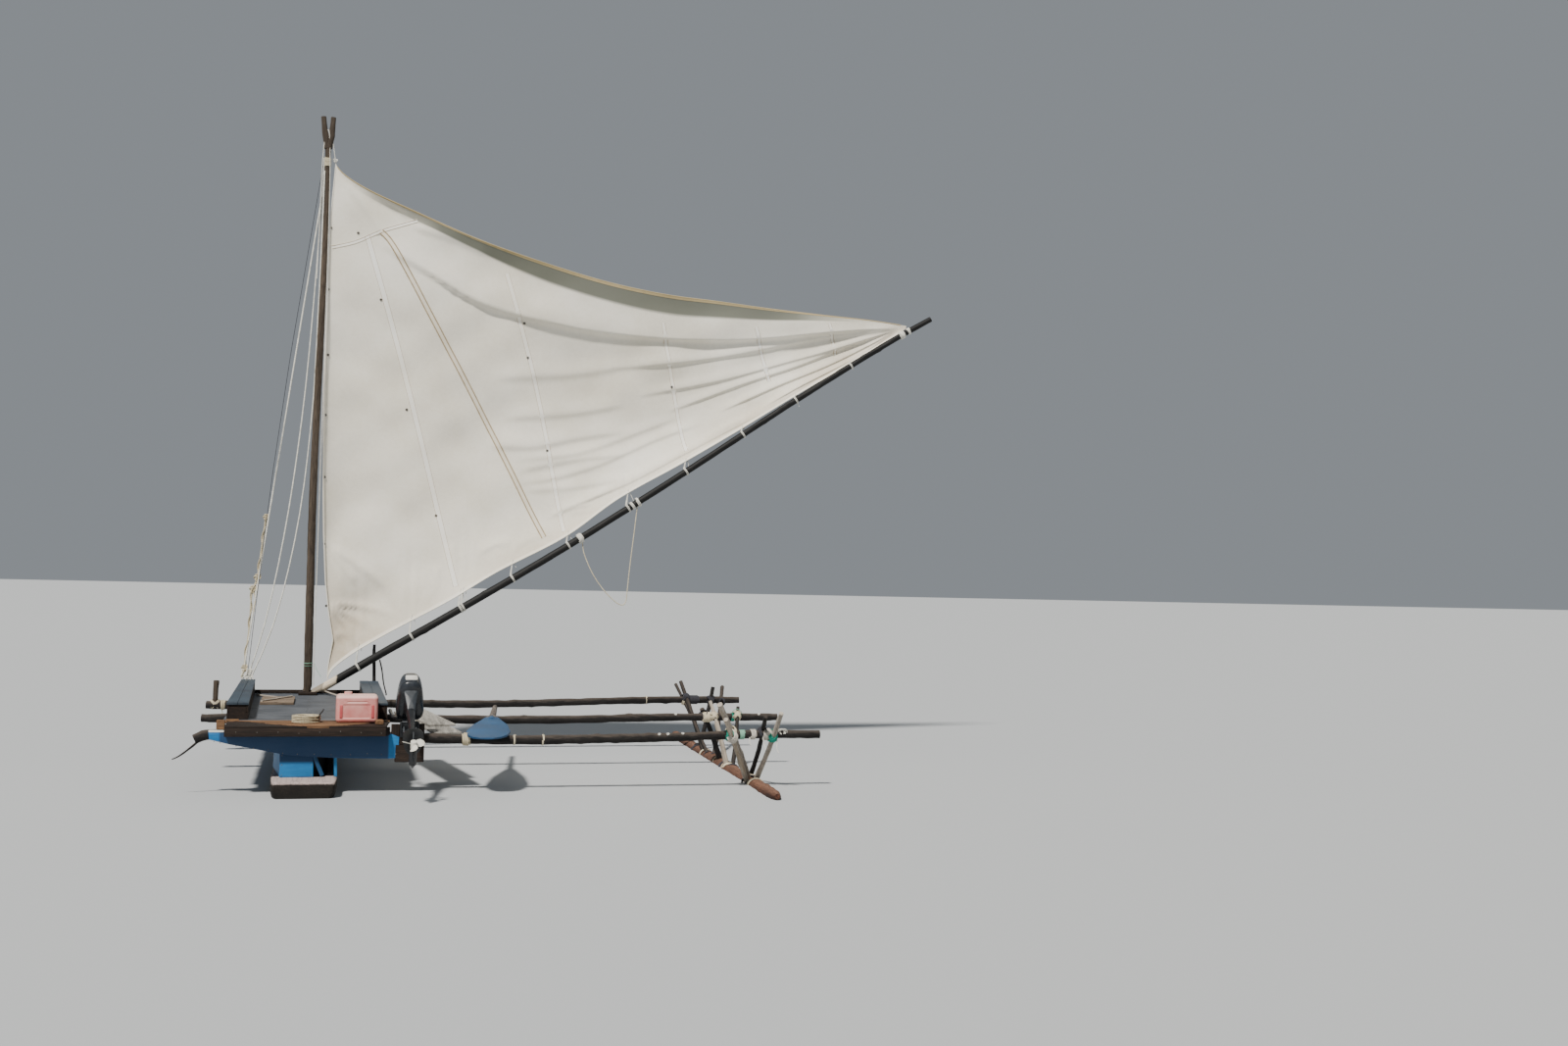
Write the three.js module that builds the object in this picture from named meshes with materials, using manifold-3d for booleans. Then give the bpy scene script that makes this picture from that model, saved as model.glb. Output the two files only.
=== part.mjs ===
// Sailing outrigger canoe: a dugout hull, three crooked crossbeams to a log float,
// a plank platform with side boxes, a forked mast, a triangular sail on a long boom,
// and a small outboard motor tilted up at the stern.
// Units are millimetres. +X points to the float, +Y to the bow, +Z up.
// The origin is amidships on the waterline.
import * as THREE from "three";
import { mergeVertices } from "three/addons/utils/BufferGeometryUtils.js";
import Module from "manifold-3d";

const wasm = await Module();
wasm.setup();

// Driving dimensions
const GAP = 0.3; // play left between seated pieces
const BEAM_Z = 500; // height of the crossbeams' axes
const BEAM_R = 38;
const DECK_TOP = 600;
const DECK_T = 24;
const BEARER_T = 45; // depth of the bearers between beams and deck
const DECK_HALF = 700; // half the platform's width
const DECK_AFT = -3660; // where the grey deck ends and the bare edge plank starts
const DECK_FORE = -400;
const EDGE_AFT = -4162; // the bare edge plank's middle
const EDGE_SIDE = -3700; // where its bowed rim starts and ends
const STERN_RIM = -4150; // the platform's dark aft face
const HULL_TOP = 145;
const STRAKE_TOP = 472;
const STRAKE_T = 26;
const STRAKE_LEAN = 14; // how far a washstrake leans in over its height
const STRAKE_AFT = -3967.7;
const STRAKE_FORE = 3420;
const PLATFORM_FORE = -300; // forward of this the washstrakes get lower
const BOX_T = 150; // height of the side boxes
const MAST_FOOT = [-28, -600, 632];
const MOTOR_PIVOT = [870, -4070, 620];
const MOTOR_TILT = 65; // degrees, at rest on its tilt stop
const STEER_Y = -50; // the steering axis, behind the tilt pin
const PROP_Z = -720;
const PROP_Y = -205;

// Finishes
const paint = (name, color, roughness, metalness = 0) =>
  new THREE.MeshStandardMaterial({ name, color, roughness, metalness });
const FINISH = {
  log: paint("weathered_log", 0x6e625a, 0.9),
  pole: paint("dark_pole", 0x3a3733, 0.85),
  stick: paint("peeled_stick", 0xa08c70, 0.85),
  float: paint("float_log", 0x6a4034, 0.8),
  blue: paint("blue_paint", 0x1f84c4, 0.6),
  slate: paint("slate_paint", 0x46505a, 0.7),
  bare: paint("bare_plank", 0x9a7048, 0.85),
  grey: paint("grey_board", 0x94908a, 0.9),
  canvas: paint("canvas", 0xe6dfcb, 0.9),
  rope: paint("rope", 0xcfc6b2, 0.95),
  boom: paint("black_boom", 0x23221f, 0.6),
  plastic: paint("red_plastic", 0xc06058, 0.5),
  black: paint("black_enamel", 0x1b1d20, 0.4),
  metal: paint("cast_aluminium", 0x8c9094, 0.45, 0.9),
  white: paint("white_enamel", 0xe4e2d8, 0.4),
};

// Solids: a closed geometry becomes a manifold solid for cutting and joining
const vec = (p) => new THREE.Vector3(...p);
const solid = (geometry) => {
  const g = geometry.clone();
  g.deleteAttribute("normal");
  g.deleteAttribute("uv");
  const m = mergeVertices(g, 1e-3);
  return new wasm.Manifold(
    new wasm.Mesh({
      numProp: 3,
      vertProperties: m.attributes.position.array,
      triVerts: new Uint32Array(m.index.array),
    }),
  );
};
const geometryOf = (s) => {
  const m = s.getMesh();
  const g = new THREE.BufferGeometry();
  g.setAttribute("position", new THREE.BufferAttribute(m.vertProperties, 3));
  g.setIndex(new THREE.BufferAttribute(m.triVerts, 1));
  return g;
};

// Rings of equal length skinned into one closed body; a strip's ends close across its thickness
const skin = (rings, strip = false) => {
  const n = rings[0].length;
  const position = rings.flat().flatMap((p) => [p.x, p.y, p.z]);
  const index = [];
  for (let r = 0; r < rings.length - 1; r++)
    for (let i = 0; i < n; i++) {
      const a = r * n + i;
      const b = r * n + ((i + 1) % n);
      index.push(a, b, b + n, a, b + n, a + n);
    }
  [0, rings.length - 1].forEach((r, end) => {
    if (strip) {
      for (let i = 0; i < n / 2 - 1; i++) {
        const [a, b, c, d] = [i, i + 1, n - 2 - i, n - 1 - i].map((k) => r * n + k);
        index.push(...(end ? [a, b, c, a, c, d] : [a, c, b, a, d, c]));
      }
      return;
    }
    const middle = position.length / 3;
    const c = rings[r]
      .reduce((s, p) => s.add(p), new THREE.Vector3())
      .divideScalar(n);
    position.push(c.x, c.y, c.z);
    for (let i = 0; i < n; i++) {
      const a = r * n + i;
      const b = r * n + ((i + 1) % n);
      index.push(...(end ? [a, b, middle] : [b, a, middle]));
    }
  });
  const g = new THREE.BufferGeometry();
  g.setAttribute("position", new THREE.Float32BufferAttribute(position, 3));
  g.setIndex(index);
  const s = solid(g);
  if (s.volume() > 0) return s;
  g.setIndex(index.map((_, k) => index[k - (k % 3) + [0, 2, 1][k % 3]]));
  return solid(g);
};

// A pole along a smooth curve: its radius runs from r0 to r1 and swells at knots
const pole = (points, r0, r1, o = {}) => {
  const { steps = 12, sides = 9, lump = 0, seed = 1, grow = 0 } = o;
  const curve = new THREE.CatmullRomCurve3(points.map(vec), false, "centripetal");
  const rings = [];
  const side = new THREE.Vector3();
  const across = new THREE.Vector3();
  for (let k = 0; k <= steps; k++) {
    const t = k / steps;
    const at = curve.getPointAt(t);
    const tangent = curve.getTangentAt(t);
    const up = Math.abs(tangent.z) < 0.9 ? [0, 0, 1] : [0, 1, 0];
    side.crossVectors(tangent, vec(up)).normalize();
    across.crossVectors(side, tangent).normalize();
    const knot = Math.sin(k * 2.4 + seed) * Math.sin(k * 1.1 + seed * 3);
    const r = (r0 + (r1 - r0) * t) * (1 + lump * knot) + grow;
    rings.push(
      Array.from({ length: sides }, (_, i) => {
        const a = (i / sides) * 2 * Math.PI;
        return at
          .clone()
          .addScaledVector(side, r * Math.cos(a))
          .addScaledVector(across, r * Math.sin(a));
      }),
    );
  }
  return skin(rings);
};

const box = (x0, x1, y0, y1, z0, z1) =>
  solid(
    new THREE.BoxGeometry(x1 - x0, y1 - y0, z1 - z0).translate(
      (x0 + x1) / 2,
      (y0 + y1) / 2,
      (z0 + z1) / 2,
    ),
  );

// A board given by its outline in one plane and its thickness along the third axis
const board = (outline, t, turn) => {
  const g = new THREE.ExtrudeGeometry(new THREE.Shape(outline), {
    depth: t,
    bevelEnabled: false,
    curveSegments: 8,
  });
  return solid(turn ? turn(g) : g);
};
const xy = (pairs) => pairs.map((p) => new THREE.Vector2(...p));
const cylinder = (a, b, r, sides = 12) =>
  pole([a, b], r, r, { steps: 1, sides });

const canoe = new THREE.Group();
const made = {};
const add = (name, s, material) => {
  made[name] = s;
  const mesh = new THREE.Mesh(geometryOf(s), material);
  mesh.name = name;
  canoe.add(mesh);
};

// Hull: a log, U-shaped below, flat on top, blunt at the stern and drawn out at the bow
const HULL = [
  // y, half width, keel z, top z
  [-4300, 262, -70, 138],
  [-4180, 274, -135, HULL_TOP],
  [-3900, 280, -185, HULL_TOP],
  [-3200, 284, -225, HULL_TOP],
  [-1600, 288, -245, HULL_TOP],
  [400, 288, -248, HULL_TOP],
  [1900, 272, -240, HULL_TOP],
  [2900, 232, -222, HULL_TOP + 2],
  [3500, 178, -185, HULL_TOP + 14],
  [4000, 108, -105, HULL_TOP + 48],
  [4300, 46, 10, HULL_TOP + 92],
];
const column = (table, k, y) => {
  let i = 0;
  while (i < table.length - 2 && table[i + 1][0] < y) i++;
  const [a, b] = [table[i], table[i + 1]];
  return a[k] + ((b[k] - a[k]) * (y - a[0])) / (b[0] - a[0]);
};
const hullHalf = (y) => column(HULL, 1, y);
const hullTop = (y) => column(HULL, 3, y);
const HULL_SIDES = 14; // facets round the U, gunwale to gunwale
const uRing = (y, half, keel, top) =>
  Array.from({ length: HULL_SIDES + 1 }, (_, i) => {
    const a = (i / HULL_SIDES) * Math.PI;
    const c = Math.cos(a);
    return new THREE.Vector3(
      half * Math.sign(c) * Math.abs(c) ** 0.75,
      y,
      top + (keel - top) * Math.sin(a) ** 0.7,
    );
  });
const HOLLOW = [
  // y, half width, floor z
  [-3960, 150, 20],
  [-3700, 196, -110],
  [-1600, 206, -150],
  [1600, 200, -146],
  [2700, 160, -128],
  [3240, 96, -30],
];
const HOLLOW_OVER = 60; // the cutter stands this much above the log
const hull = skin(HULL.map((s) => uRing(...s))).subtract(
  skin(HOLLOW.map(([y, half, floor]) => uRing(y, half, floor, HULL_TOP + HOLLOW_OVER))),
);
add("hull_dugout", hull, FINISH.log);

// Crossbeams: crooked poles from beyond the port side to the float
const BEAMS = [
  // name, y, port end x, starboard end x, bends in y and z at even steps along the pole, knot seed
  ["beam_stern", -3950, -897, 4608, [0, 0, 8, 14, 6, 0, -6, -4, 0], [8, 0, -8, -36, -50, -41, -28, -5, -7], 1],
  ["beam_middle", -2180, -966, 4686, [-40, -8, 6, 12, 18, 26, 34, 44, 50],
    [-9, 0, -3, -20, -28, -26, -9, -3, -5], 2],
  ["beam_fore", -530, -1034, 4680, [-60, -26, -6, 4, 14, 26, 38, 50, 60],
    [-14, -3, -1, -1, -3, 12, 33, 48, 44], 3],
];
const beamAt = ([, y, x0, x1, dy, dz, seed], grow) =>
  pole(
    dy.map((d, i) => [
      x0 + ((x1 - x0) * i) / (dy.length - 1),
      y + d,
      BEAM_Z + dz[i],
    ]),
    BEAM_R + 2,
    BEAM_R - 5,
    { steps: 30, sides: 10, lump: 0.08, seed, grow },
  );
const beamCut = BEAMS.map((b) => beamAt(b, GAP)).reduce((a, b) => a.add(b));
BEAMS.forEach((b) => add(b[0], beamAt(b, 0), FINISH.pole));

// A natural side twig grows from the stern beam's port end
const TWIG = [
  [-815, -3950, 496],
  [-880, -3952, 440],
  [-985, -3956, 352],
  [-1035, -3958, 318],
  [-1075, -3960, 300],
];
made.beam_stern = made.beam_stern.add(pole(TWIG, 17, 8, { steps: 8, sides: 7 }));
canoe.getObjectByName("beam_stern").geometry = geometryOf(made.beam_stern);

// Washstrakes: planks that stand on the gunwales and carry the beams
const strakeTop = (y) =>
  y < PLATFORM_FORE
    ? STRAKE_TOP
    : STRAKE_TOP - (120 * (y - PLATFORM_FORE)) / (STRAKE_FORE - PLATFORM_FORE);
const STRAKE_STATIONS = [
  // y, how far the port plank draws in from the gunwale
  [STRAKE_AFT, 70],
  [-3700, 44],
  [-3200, 0],
  [-1600, 0],
  [-300, 0],
  [400, 0],
  [1900, 0],
  [2900, 0],
  [STRAKE_FORE, 0],
];
const strake = (hand) =>
  skin(
    STRAKE_STATIONS.map(([y, portIn]) => {
      const foot = hullHalf(y) - 4 - (hand < 0 ? portIn : 0);
      const low = hullTop(y) + GAP;
      return [
        [foot, low],
        [foot - STRAKE_LEAN, strakeTop(y)],
        [foot - STRAKE_LEAN - STRAKE_T, strakeTop(y)],
        [foot - STRAKE_T, low],
      ].map(([x, z]) => new THREE.Vector3(hand * x, y, z));
    }),
  ).subtract(beamCut);
[["washstrake_left", -1], ["washstrake_right", 1]].forEach(([name, hand]) =>
  add(name, strake(hand), FINISH.blue),
);

// End panels close the washstrakes; the stern one covers only the port part
const PANEL_T = 24;
const upright = (y) => (g) => g.rotateX(Math.PI / 2).translate(0, y, 0);
add(
  "riser_panel_stern",
  board(xy([[-200, HULL_TOP + GAP], [76, HULL_TOP + GAP], [70, 350], [-206, 350]]),
    PANEL_T, upright(STRAKE_AFT - GAP)),
  FINISH.blue,
);
const bowHalf = hullHalf(STRAKE_FORE) - 4;
const bowLow = hullTop(STRAKE_FORE + PANEL_T) + GAP;
add(
  "riser_panel_bow",
  board(
    xy([
      [-bowHalf, bowLow],
      [bowHalf, bowLow],
      [bowHalf - STRAKE_LEAN, strakeTop(STRAKE_FORE)],
      [STRAKE_LEAN - bowHalf, strakeTop(STRAKE_FORE)],
    ]),
    PANEL_T,
    upright(STRAKE_FORE + GAP + PANEL_T),
  ),
  FINISH.blue,
);

// Two thwarts lie on the gunwale ledges forward of the platform
[["thwart_aft", 900], ["thwart_fore", 2200]].forEach(([name, y]) => {
  const half = hullHalf(y + 150) - STRAKE_T - 12;
  const low = hullTop(y + 150) + GAP;
  add(name, box(-half, half, y, y + 150, low, low + 26), FINISH.grey);
});

// Cross panel: the blue board behind the stern beam, deeper to starboard and standing out at both ends
const PANEL_Y = STRAKE_AFT - 2 * GAP - PANEL_T;
const PANEL_TOP = 530.4;
add(
  "cross_panel_stern",
  board(
    xy([
      [-788, PANEL_TOP + 15],
      [-781, 471],
      [-615, 429],
      [-208, 348],
      [-95, 331],
      [262, 308],
      [696, 300],
      [780, 306],
      [786, PANEL_TOP - 42],
      [673, PANEL_TOP],
      [-660, PANEL_TOP],
      [-660, PANEL_TOP + 15],
    ]),
    PANEL_T,
    upright(PANEL_Y),
  ),
  FINISH.blue,
);

// Bearers under the deck, notched over the beams
const BEARERS = [
  ["bearer_left", -640],
  ["bearer_middle", -30],
  ["bearer_right", 580],
];
const BEARER_AFT = PANEL_Y - PANEL_T;
const DECK_LOW = DECK_TOP - DECK_T;
BEARERS.forEach(([name, x]) =>
  add(
    name,
    box(x, x + 60, BEARER_AFT, -380, DECK_LOW - GAP - BEARER_T, DECK_LOW - GAP).subtract(beamCut),
    FINISH.pole,
  ),
);

// Deck, and the bare edge plank with its bowed rim let in between two dark stern boards
add("deck", box(-DECK_HALF, DECK_HALF, DECK_AFT, DECK_FORE, DECK_LOW, DECK_TOP), FINISH.slate);
const EDGE_LEFT = -480;
const EDGE_RIGHT = 690;
const EDGE_PEAK = (EDGE_LEFT + EDGE_RIGHT) / 2;
const edge = new THREE.Shape();
edge.moveTo(-DECK_HALF, DECK_AFT - GAP);
edge.lineTo(-DECK_HALF, EDGE_SIDE + 10);
edge.lineTo(EDGE_LEFT, EDGE_SIDE);
edge.quadraticCurveTo(EDGE_PEAK, 2 * EDGE_AFT - EDGE_SIDE, EDGE_RIGHT, EDGE_SIDE);
edge.lineTo(DECK_HALF + 15, EDGE_SIDE + 10);
edge.lineTo(DECK_HALF + 15, DECK_AFT - GAP);
const edgePlank = solid(
  new THREE.ExtrudeGeometry(edge, {
    depth: DECK_T,
    bevelEnabled: false,
    curveSegments: 16,
  }).translate(0, 0, DECK_LOW),
);
add("deck_edge_plank", edgePlank, FINISH.bare);
const STERN_LEFT = -655;
const sternShape = (fore) => xy([[STERN_LEFT, STERN_RIM], [668, STERN_RIM], [708, fore], [STERN_LEFT, fore]]);
const edgeCut = [-GAP, 0, GAP].map((x) => edgePlank.translate([x, -GAP, 0])).reduce((m, n) => m.add(n));
const sternBoards = board(sternShape(EDGE_SIDE), 18, (g) => g.translate(0, 0, DECK_LOW)).subtract(edgeCut);
[
  ["stern_board_left", STERN_LEFT - 10, EDGE_PEAK],
  ["stern_board_right", EDGE_PEAK, 720],
].forEach(([name, x0, x1]) =>
  add(name, sternBoards.intersect(box(x0, x1, -4200, -3600, 500, 700)), FINISH.pole),
);

// The dark timber across the stern, under those boards and behind the bearers' ends
const FASCIA_LOW = 505;
add(
  "fascia_stern",
  board(sternShape(BEARER_AFT - GAP), DECK_LOW - GAP - FASCIA_LOW, (g) => g.translate(0, 0, FASCIA_LOW)),
  FINISH.pole,
);
add("coaming_fore", box(-600, 600, -440, -410, DECK_TOP + GAP, DECK_TOP + 38), FINISH.pole);

// Side boxes along the platform, and what lies on it
const BOXES = [
  // name, aft y, x of its sides at the aft end, fore y, x of its sides at the fore end
  ["side_box_left", -3585, -672, -487, -450, -700, -562],
  ["side_box_right", -3605, 508, 696, -620, 500, 690],
];
BOXES.forEach(([name, y0, a0, a1, y1, b0, b1]) =>
  add(
    name,
    board(xy([[a0, y0], [a1, y0], [b1, y1], [b0, y1]]), BOX_T - GAP, (g) =>
      g.translate(0, 0, DECK_TOP + GAP)),
    FINISH.slate,
  ),
);
add("loose_board", box(-455, -140, -1960, -1220, DECK_TOP + GAP, DECK_TOP + 26), FINISH.bare);

// Fuel tank: a moulded can with an inset front and a filler cap
const TANK = { x0: 248, x1: 604, y0: -3930, y1: -3640, h: 236, edge: 26 };
const tankRing = (inset, z) => {
  const { x0, x1, y0, y1, edge: e } = TANK;
  const c = inset + e;
  return [
    [x0 + inset, y0 + c], [x0 + c, y0 + inset], [x1 - c, y0 + inset], [x1 - inset, y0 + c],
    [x1 - inset, y1 - c], [x1 - c, y1 - inset], [x0 + c, y1 - inset], [x0 + inset, y1 - c],
  ].map(([x, y]) => new THREE.Vector3(x, y, z));
};
const tankZ = DECK_TOP + GAP;
add(
  "fuel_tank",
  skin([
    tankRing(10, tankZ),
    tankRing(0, tankZ + 18),
    tankRing(0, tankZ + TANK.h - 34),
    tankRing(24, tankZ + TANK.h),
  ])
    .subtract(box(TANK.x0 + 50, TANK.x1 - 50, TANK.y0 - 5, TANK.y0 + 7, tankZ + 34, tankZ + 166))
    .add(cylinder([350, -3730, tankZ + TANK.h - 5], [350, -3730, tankZ + TANK.h + 24], 34)),
  FINISH.plastic,
);

// Mast: a natural pole on a step, flared and notched at its head
add("mast_step", box(-120, 70, -700, -500, DECK_TOP + GAP, MAST_FOOT[2] - GAP), FINISH.pole);
const mastPole = pole(
  [MAST_FOOT, [-33, -600, 1500], [-37, -600, 2600], [-25, -600, 3600], [-7, -600, 4500],
    [4, -600, 5300], [8, -600, 6000], [8, -600, 6440]],
  45,
  29,
  { steps: 22, sides: 12, lump: 0.04, seed: 5 },
);
const HEAD_Z = 6440;
const head = skin(
  [
    // z, half width, half depth
    [HEAD_Z - 30, 29, 29],
    [HEAD_Z + 60, 36, 34],
    [HEAD_Z + 150, 52, 40],
    [HEAD_Z + 255, 69, 42],
  ].map(([z, hx, hy]) =>
    Array.from({ length: 12 }, (_, i) => {
      const a = (i / 12) * 2 * Math.PI;
      return new THREE.Vector3(hx * Math.cos(a), -600 + hy * Math.sin(a), z);
    }),
  ),
);
const notch = board(xy([[-20, HEAD_Z + 140], [18, HEAD_Z + 140], [40, HEAD_Z + 300], [-44, HEAD_Z + 300]]),
  200, upright(-500));
add("mast", mastPole.add(head).subtract(notch), FINISH.pole);

// Boom and sail swing together about the mast's line
const BOOM = [
  [20, -600, 612],
  [92, -600, 652],
  [630, -600, 984],
  [1560, -600, 1546],
  [2710, -600, 2262],
  [3980, -600, 3106],
  [5250, -600, 3979],
  [6439, -600, 4757],
  [6850, -600, 5000],
];
const BOOM_R = 43;
const boomCurve = new THREE.CatmullRomCurve3(BOOM.map(vec), false, "centripetal");
const boomPole = (grow) =>
  pole(BOOM, BOOM_R, 32, { steps: 26, sides: 10, lump: 0.03, seed: 7, grow });
const JAW_R = 49; // the heel's hollow, round the mast's line
add(
  "boom",
  boomPole(0)
    .subtract(cylinder([-28, -600, 500], [-26.5, -600, 700], JAW_R, 24))
    .subtract(box(-100, 300, -700, -500, 500, MAST_FOOT[2])),
  FINISH.boom,
);

// The post that the boom rests against stands on the starboard side of the deck
const POST_R = 19;
const POST_Y = -600 + BOOM_R + 8 + POST_R;
add(
  "boom_post",
  pole([[658, POST_Y, DECK_TOP + 1], [640, POST_Y, 1130]], POST_R, POST_R - 3, { steps: 3 }),
  FINISH.pole,
);

// Sail: a triangle with a belly to the bow side and a leech that curls to the stern side
const SAIL_T = 8;
const LUFF = [
  // z, x
  [880, 170],
  [1180, 214],
  [1460, 162],
  [1800, 118],
  [2290, 86],
  [2920, 60],
  [3540, 48],
  [4160, 44],
  [5000, 50],
  [5700, 56],
  [6240, 92],
];
const SAIL = [
  // foot x, hem above the boom's axis, crease x, crease z, leech z, how far the leech comes aft
  [172, 62, 92, 6240, 6262, 0],
  [450, 125, 480, 5965, 6030, 60],
  [1000, 136, 1000, 5705, 5796, 120],
  [1450, 142, 1580, 5440, 5556, 165],
  [1900, 166, 2330, 5138, 5330, 190],
  [2650, 118, 3050, 4946, 5160, 200],
  [3220, 175, 3720, 4846, 5067, 190],
  [3900, 128, 4280, 4838, 5033, 160],
  [4500, 88, 4900, 4854, 4991, 120],
  [5236, 58, 5545, 4884, 4961, 70],
  [5884, 38, 6130, 4902, 4938, 25],
  [6470, 26, 6550, 4880, 4905, 2],
];
const BELLY = 210;
const boomZ = (x) => column(BOOM.map(([bx, , z]) => [bx, z]), 1, x);
const along = (cells) => new THREE.CatmullRomCurve3(SAIL.map((row) => vec(cells(row))));
const foot = along(([x, lift]) => [x, -600, boomZ(x) + lift]);
const crease = along((row) => [row[2], -600, row[3]]);
const leech = along((row) => [row[2], -600 - row[5], row[4]]);
const SAIL_U = 22;
const SAIL_V = 12;
const sailPoint = (u, v) => {
  const p = foot.getPoint(u).lerp(crease.getPoint(u), v);
  const bound = (1 - u) ** 12;
  p.x += (column(LUFF, 1, p.z) - p.x) * bound;
  p.y += BELLY * Math.sin(Math.PI * v ** 0.8) * Math.sin(Math.PI * u ** 0.7);
  return p;
};
const sailRow = (j, side) =>
  Array.from({ length: SAIL_U + 1 }, (_, i) => {
    const u = i / SAIL_U;
    const over = (j - SAIL_V) / 2; // beyond the crease
    const p = over <= 0 ? sailPoint(u, j / SAIL_V) : sailPoint(u, 1).lerp(leech.getPoint(u), over);
    return p.setY(p.y + (side * SAIL_T) / 2);
  });
const sailRings = Array.from({ length: SAIL_V + 3 }, (_, j) => [
  ...sailRow(j, 1),
  ...sailRow(j, -1).reverse(),
]);
add("sail", skin(sailRings, true).subtract(boomPole(GAP)), FINISH.canvas);

// Bridle: the loose sheet rope that hangs in a bight under the boom
const ROPE_R = 6;
const BRIDLE = [
  [2832, -600, 2330],
  [2850, -606, 2180],
  [2895, -612, 2060],
  [2960, -616, 1930],
  [3050, -618, 1800],
  [3150, -618, 1690],
  [3245, -616, 1615],
  [3300, -612, 1600],
  [3332, -610, 1640],
  [3346, -608, 1760],
  [3362, -606, 1950],
  [3384, -604, 2180],
  [3410, -602, 2420],
  [3440, -600, 2740],
];
const rope = (points, r, steps, sides = 8) => {
  const section = new THREE.Shape().absarc(0, 0, r, 0, 2 * Math.PI);
  return solid(
    new THREE.ExtrudeGeometry(section, {
      steps,
      curveSegments: sides / 2,
      bevelEnabled: false,
      extrudePath: new THREE.CatmullRomCurve3(points.map(vec), false, "centripetal"),
    }),
  );
};
add("bridle_rope", rope(BRIDLE, ROPE_R, 60).subtract(boomPole(GAP)), FINISH.rope);

// Stays: from high on the mast to the fore end of the port side box
const STAY_Z = [4840, 3580, 2330, 1300, DECK_TOP + BOX_T + GAP];
const STAYS = [
  // name, radius, top point, foot y, x at the heights of STAY_Z
  ["stay_outer", 7, [-28, -606, 5980], -480, [-174, -334, -494, -624, -690]],
  ["stay_middle", 6, [-24, -580, 6300], -500, [-86, -167, -307, -491, -645]],
  ["stay_inner", 6, [-20, -634, 6150], -520, [-36, -70, -188, -403, -612]],
];
STAYS.forEach(([name, r, top, footY, xs]) => {
  const low = STAY_Z[STAY_Z.length - 1];
  const points = xs.map((x, i) => {
    const t = (top[2] - STAY_Z[i]) / (top[2] - low);
    return [x, top[1] + (footY - top[1]) * t, STAY_Z[i]];
  });
  add(name, rope([top, ...points], r, 18).subtract(made.mast).subtract(
    box(-760, -480, -700, -400, 500, low)), FINISH.rope);
});

// Peg on the fore beam's port end
add("peg_port", cylinder([-948, -575, 505], [-945, -575, 742], 24, 9).subtract(beamCut), FINISH.stick);

// Float: a log with a blunt upturned stern end
const FLOAT = [
  // y, x, z, radius
  [-4790, 3990, 34, 22],
  [-4730, 3996, 26, 44],
  [-4560, 4014, 10, 62],
  [-4200, 4044, -10, 72],
  [-3400, 4086, -26, 78],
  [-1800, 4150, -32, 82],
  [-300, 4206, -30, 80],
  [600, 4240, -12, 72],
  [960, 4254, 8, 54],
  [1060, 4257, 18, 26],
];
const floatLog = skin(
  FLOAT.map(([y, x, z, r]) =>
    Array.from({ length: 12 }, (_, i) => {
      const a = (i / 12) * 2 * Math.PI;
      return new THREE.Vector3(x + r * Math.cos(a), y, z + r * Math.sin(a));
    }),
  ),
);
const floatX = (y) => column(FLOAT, 1, y);

// Struts: sticks driven into the float and lashed to the beams
const STRUTS = [
  // top x, top y, top z, foot y, foot x offset, radius, bow to starboard, peeled
  [3612, -4132, 771, -3500, -16, 22, 8, true],
  [4168, -4192, 697, -3560, 18, 21, 16, true],
  [3672, -4122, 637, -3600, -58, 18, 0, false],
  [4040, -4122, 664, -3290, 22, 18, 20, false],
  [3976, -2128, 651, -2390, -20, 22, 8, true],
  [4267, -2132, 591, -2470, 20, 17, 8, false],
  [3893, -2116, 569, -1900, 10, 22, 8, false],
  [4368, -513, 691, -560, 22, 20, 8, false],
  [4038, -335, 727, -1090, -20, 21, 6, false],
  [4548, -196, 660, -1440, 20, 18, 8, false],
  [4007, -211, 691, -1260, -6, 15, 8, false],
];
const FOOT_Z = 0;
let sockets = null;
let placed = beamCut;
STRUTS.forEach(([x, y, z, footY, dx, r, bow, peeled], i) => {
  const foot = [floatX(footY) + dx, footY, FOOT_Z];
  const ends = [[x, y, z], [(x + foot[0]) / 2 + bow, (y + footY) / 2, z / 2 + 10], foot];
  const stick = (grow) => pole(ends, r * 0.8, r, { steps: 6, sides: 8, lump: 0.06, seed: i, grow });
  add("strut_" + (i + 1), stick(0).subtract(placed), peeled ? FINISH.stick : FINISH.pole);
  placed = placed.add(stick(GAP));
  sockets = sockets ? sockets.add(stick(2 * GAP)) : stick(2 * GAP);
});
add("float_log", floatLog.subtract(sockets), FINISH.float);

// Steering oar and two spare boards stowed on the stern and middle beams
const oarAt = (y) => [1554 + 0.119 * (y + 3950), y, 506 + 0.0156 * (y + 3950)];
const blade = skin(
  [
    // y, half width, half thickness
    [-4310, 60, 6],
    [-4250, 120, 8],
    [-4110, 168, 9],
    [-3830, 195, 10],
    [-3300, 156, 12],
    [-2980, 100, 16],
    [-2760, 60, 24],
    [-2640, 34, 30],
  ].map(([y, half, t]) => {
    const [x, , z] = oarAt(y);
    return [[-1, -1], [0, -1.3], [1, -1], [1, 1], [0, 1.3], [-1, 1]].map(
      ([a, b]) => new THREE.Vector3(x + half * a, y, z + t * b),
    );
  }),
);
const loom = pole([oarAt(-2900), oarAt(-2200), oarAt(-1500)], 38, 24);
add("steering_oar", blade.add(loom).subtract(beamCut), FINISH.blue);
const SPARES = [
  // name, x, y, z of its middle, length, width, yaw and pitch in degrees
  ["spare_board_long", 1075, -2860, 512, 2000, 250, 8, 0.62],
  ["spare_board_short", 1085, -2560, 535.4, 1560, 250, 8, 0.62],
];
let stowed = beamCut.add(made.steering_oar);
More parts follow.
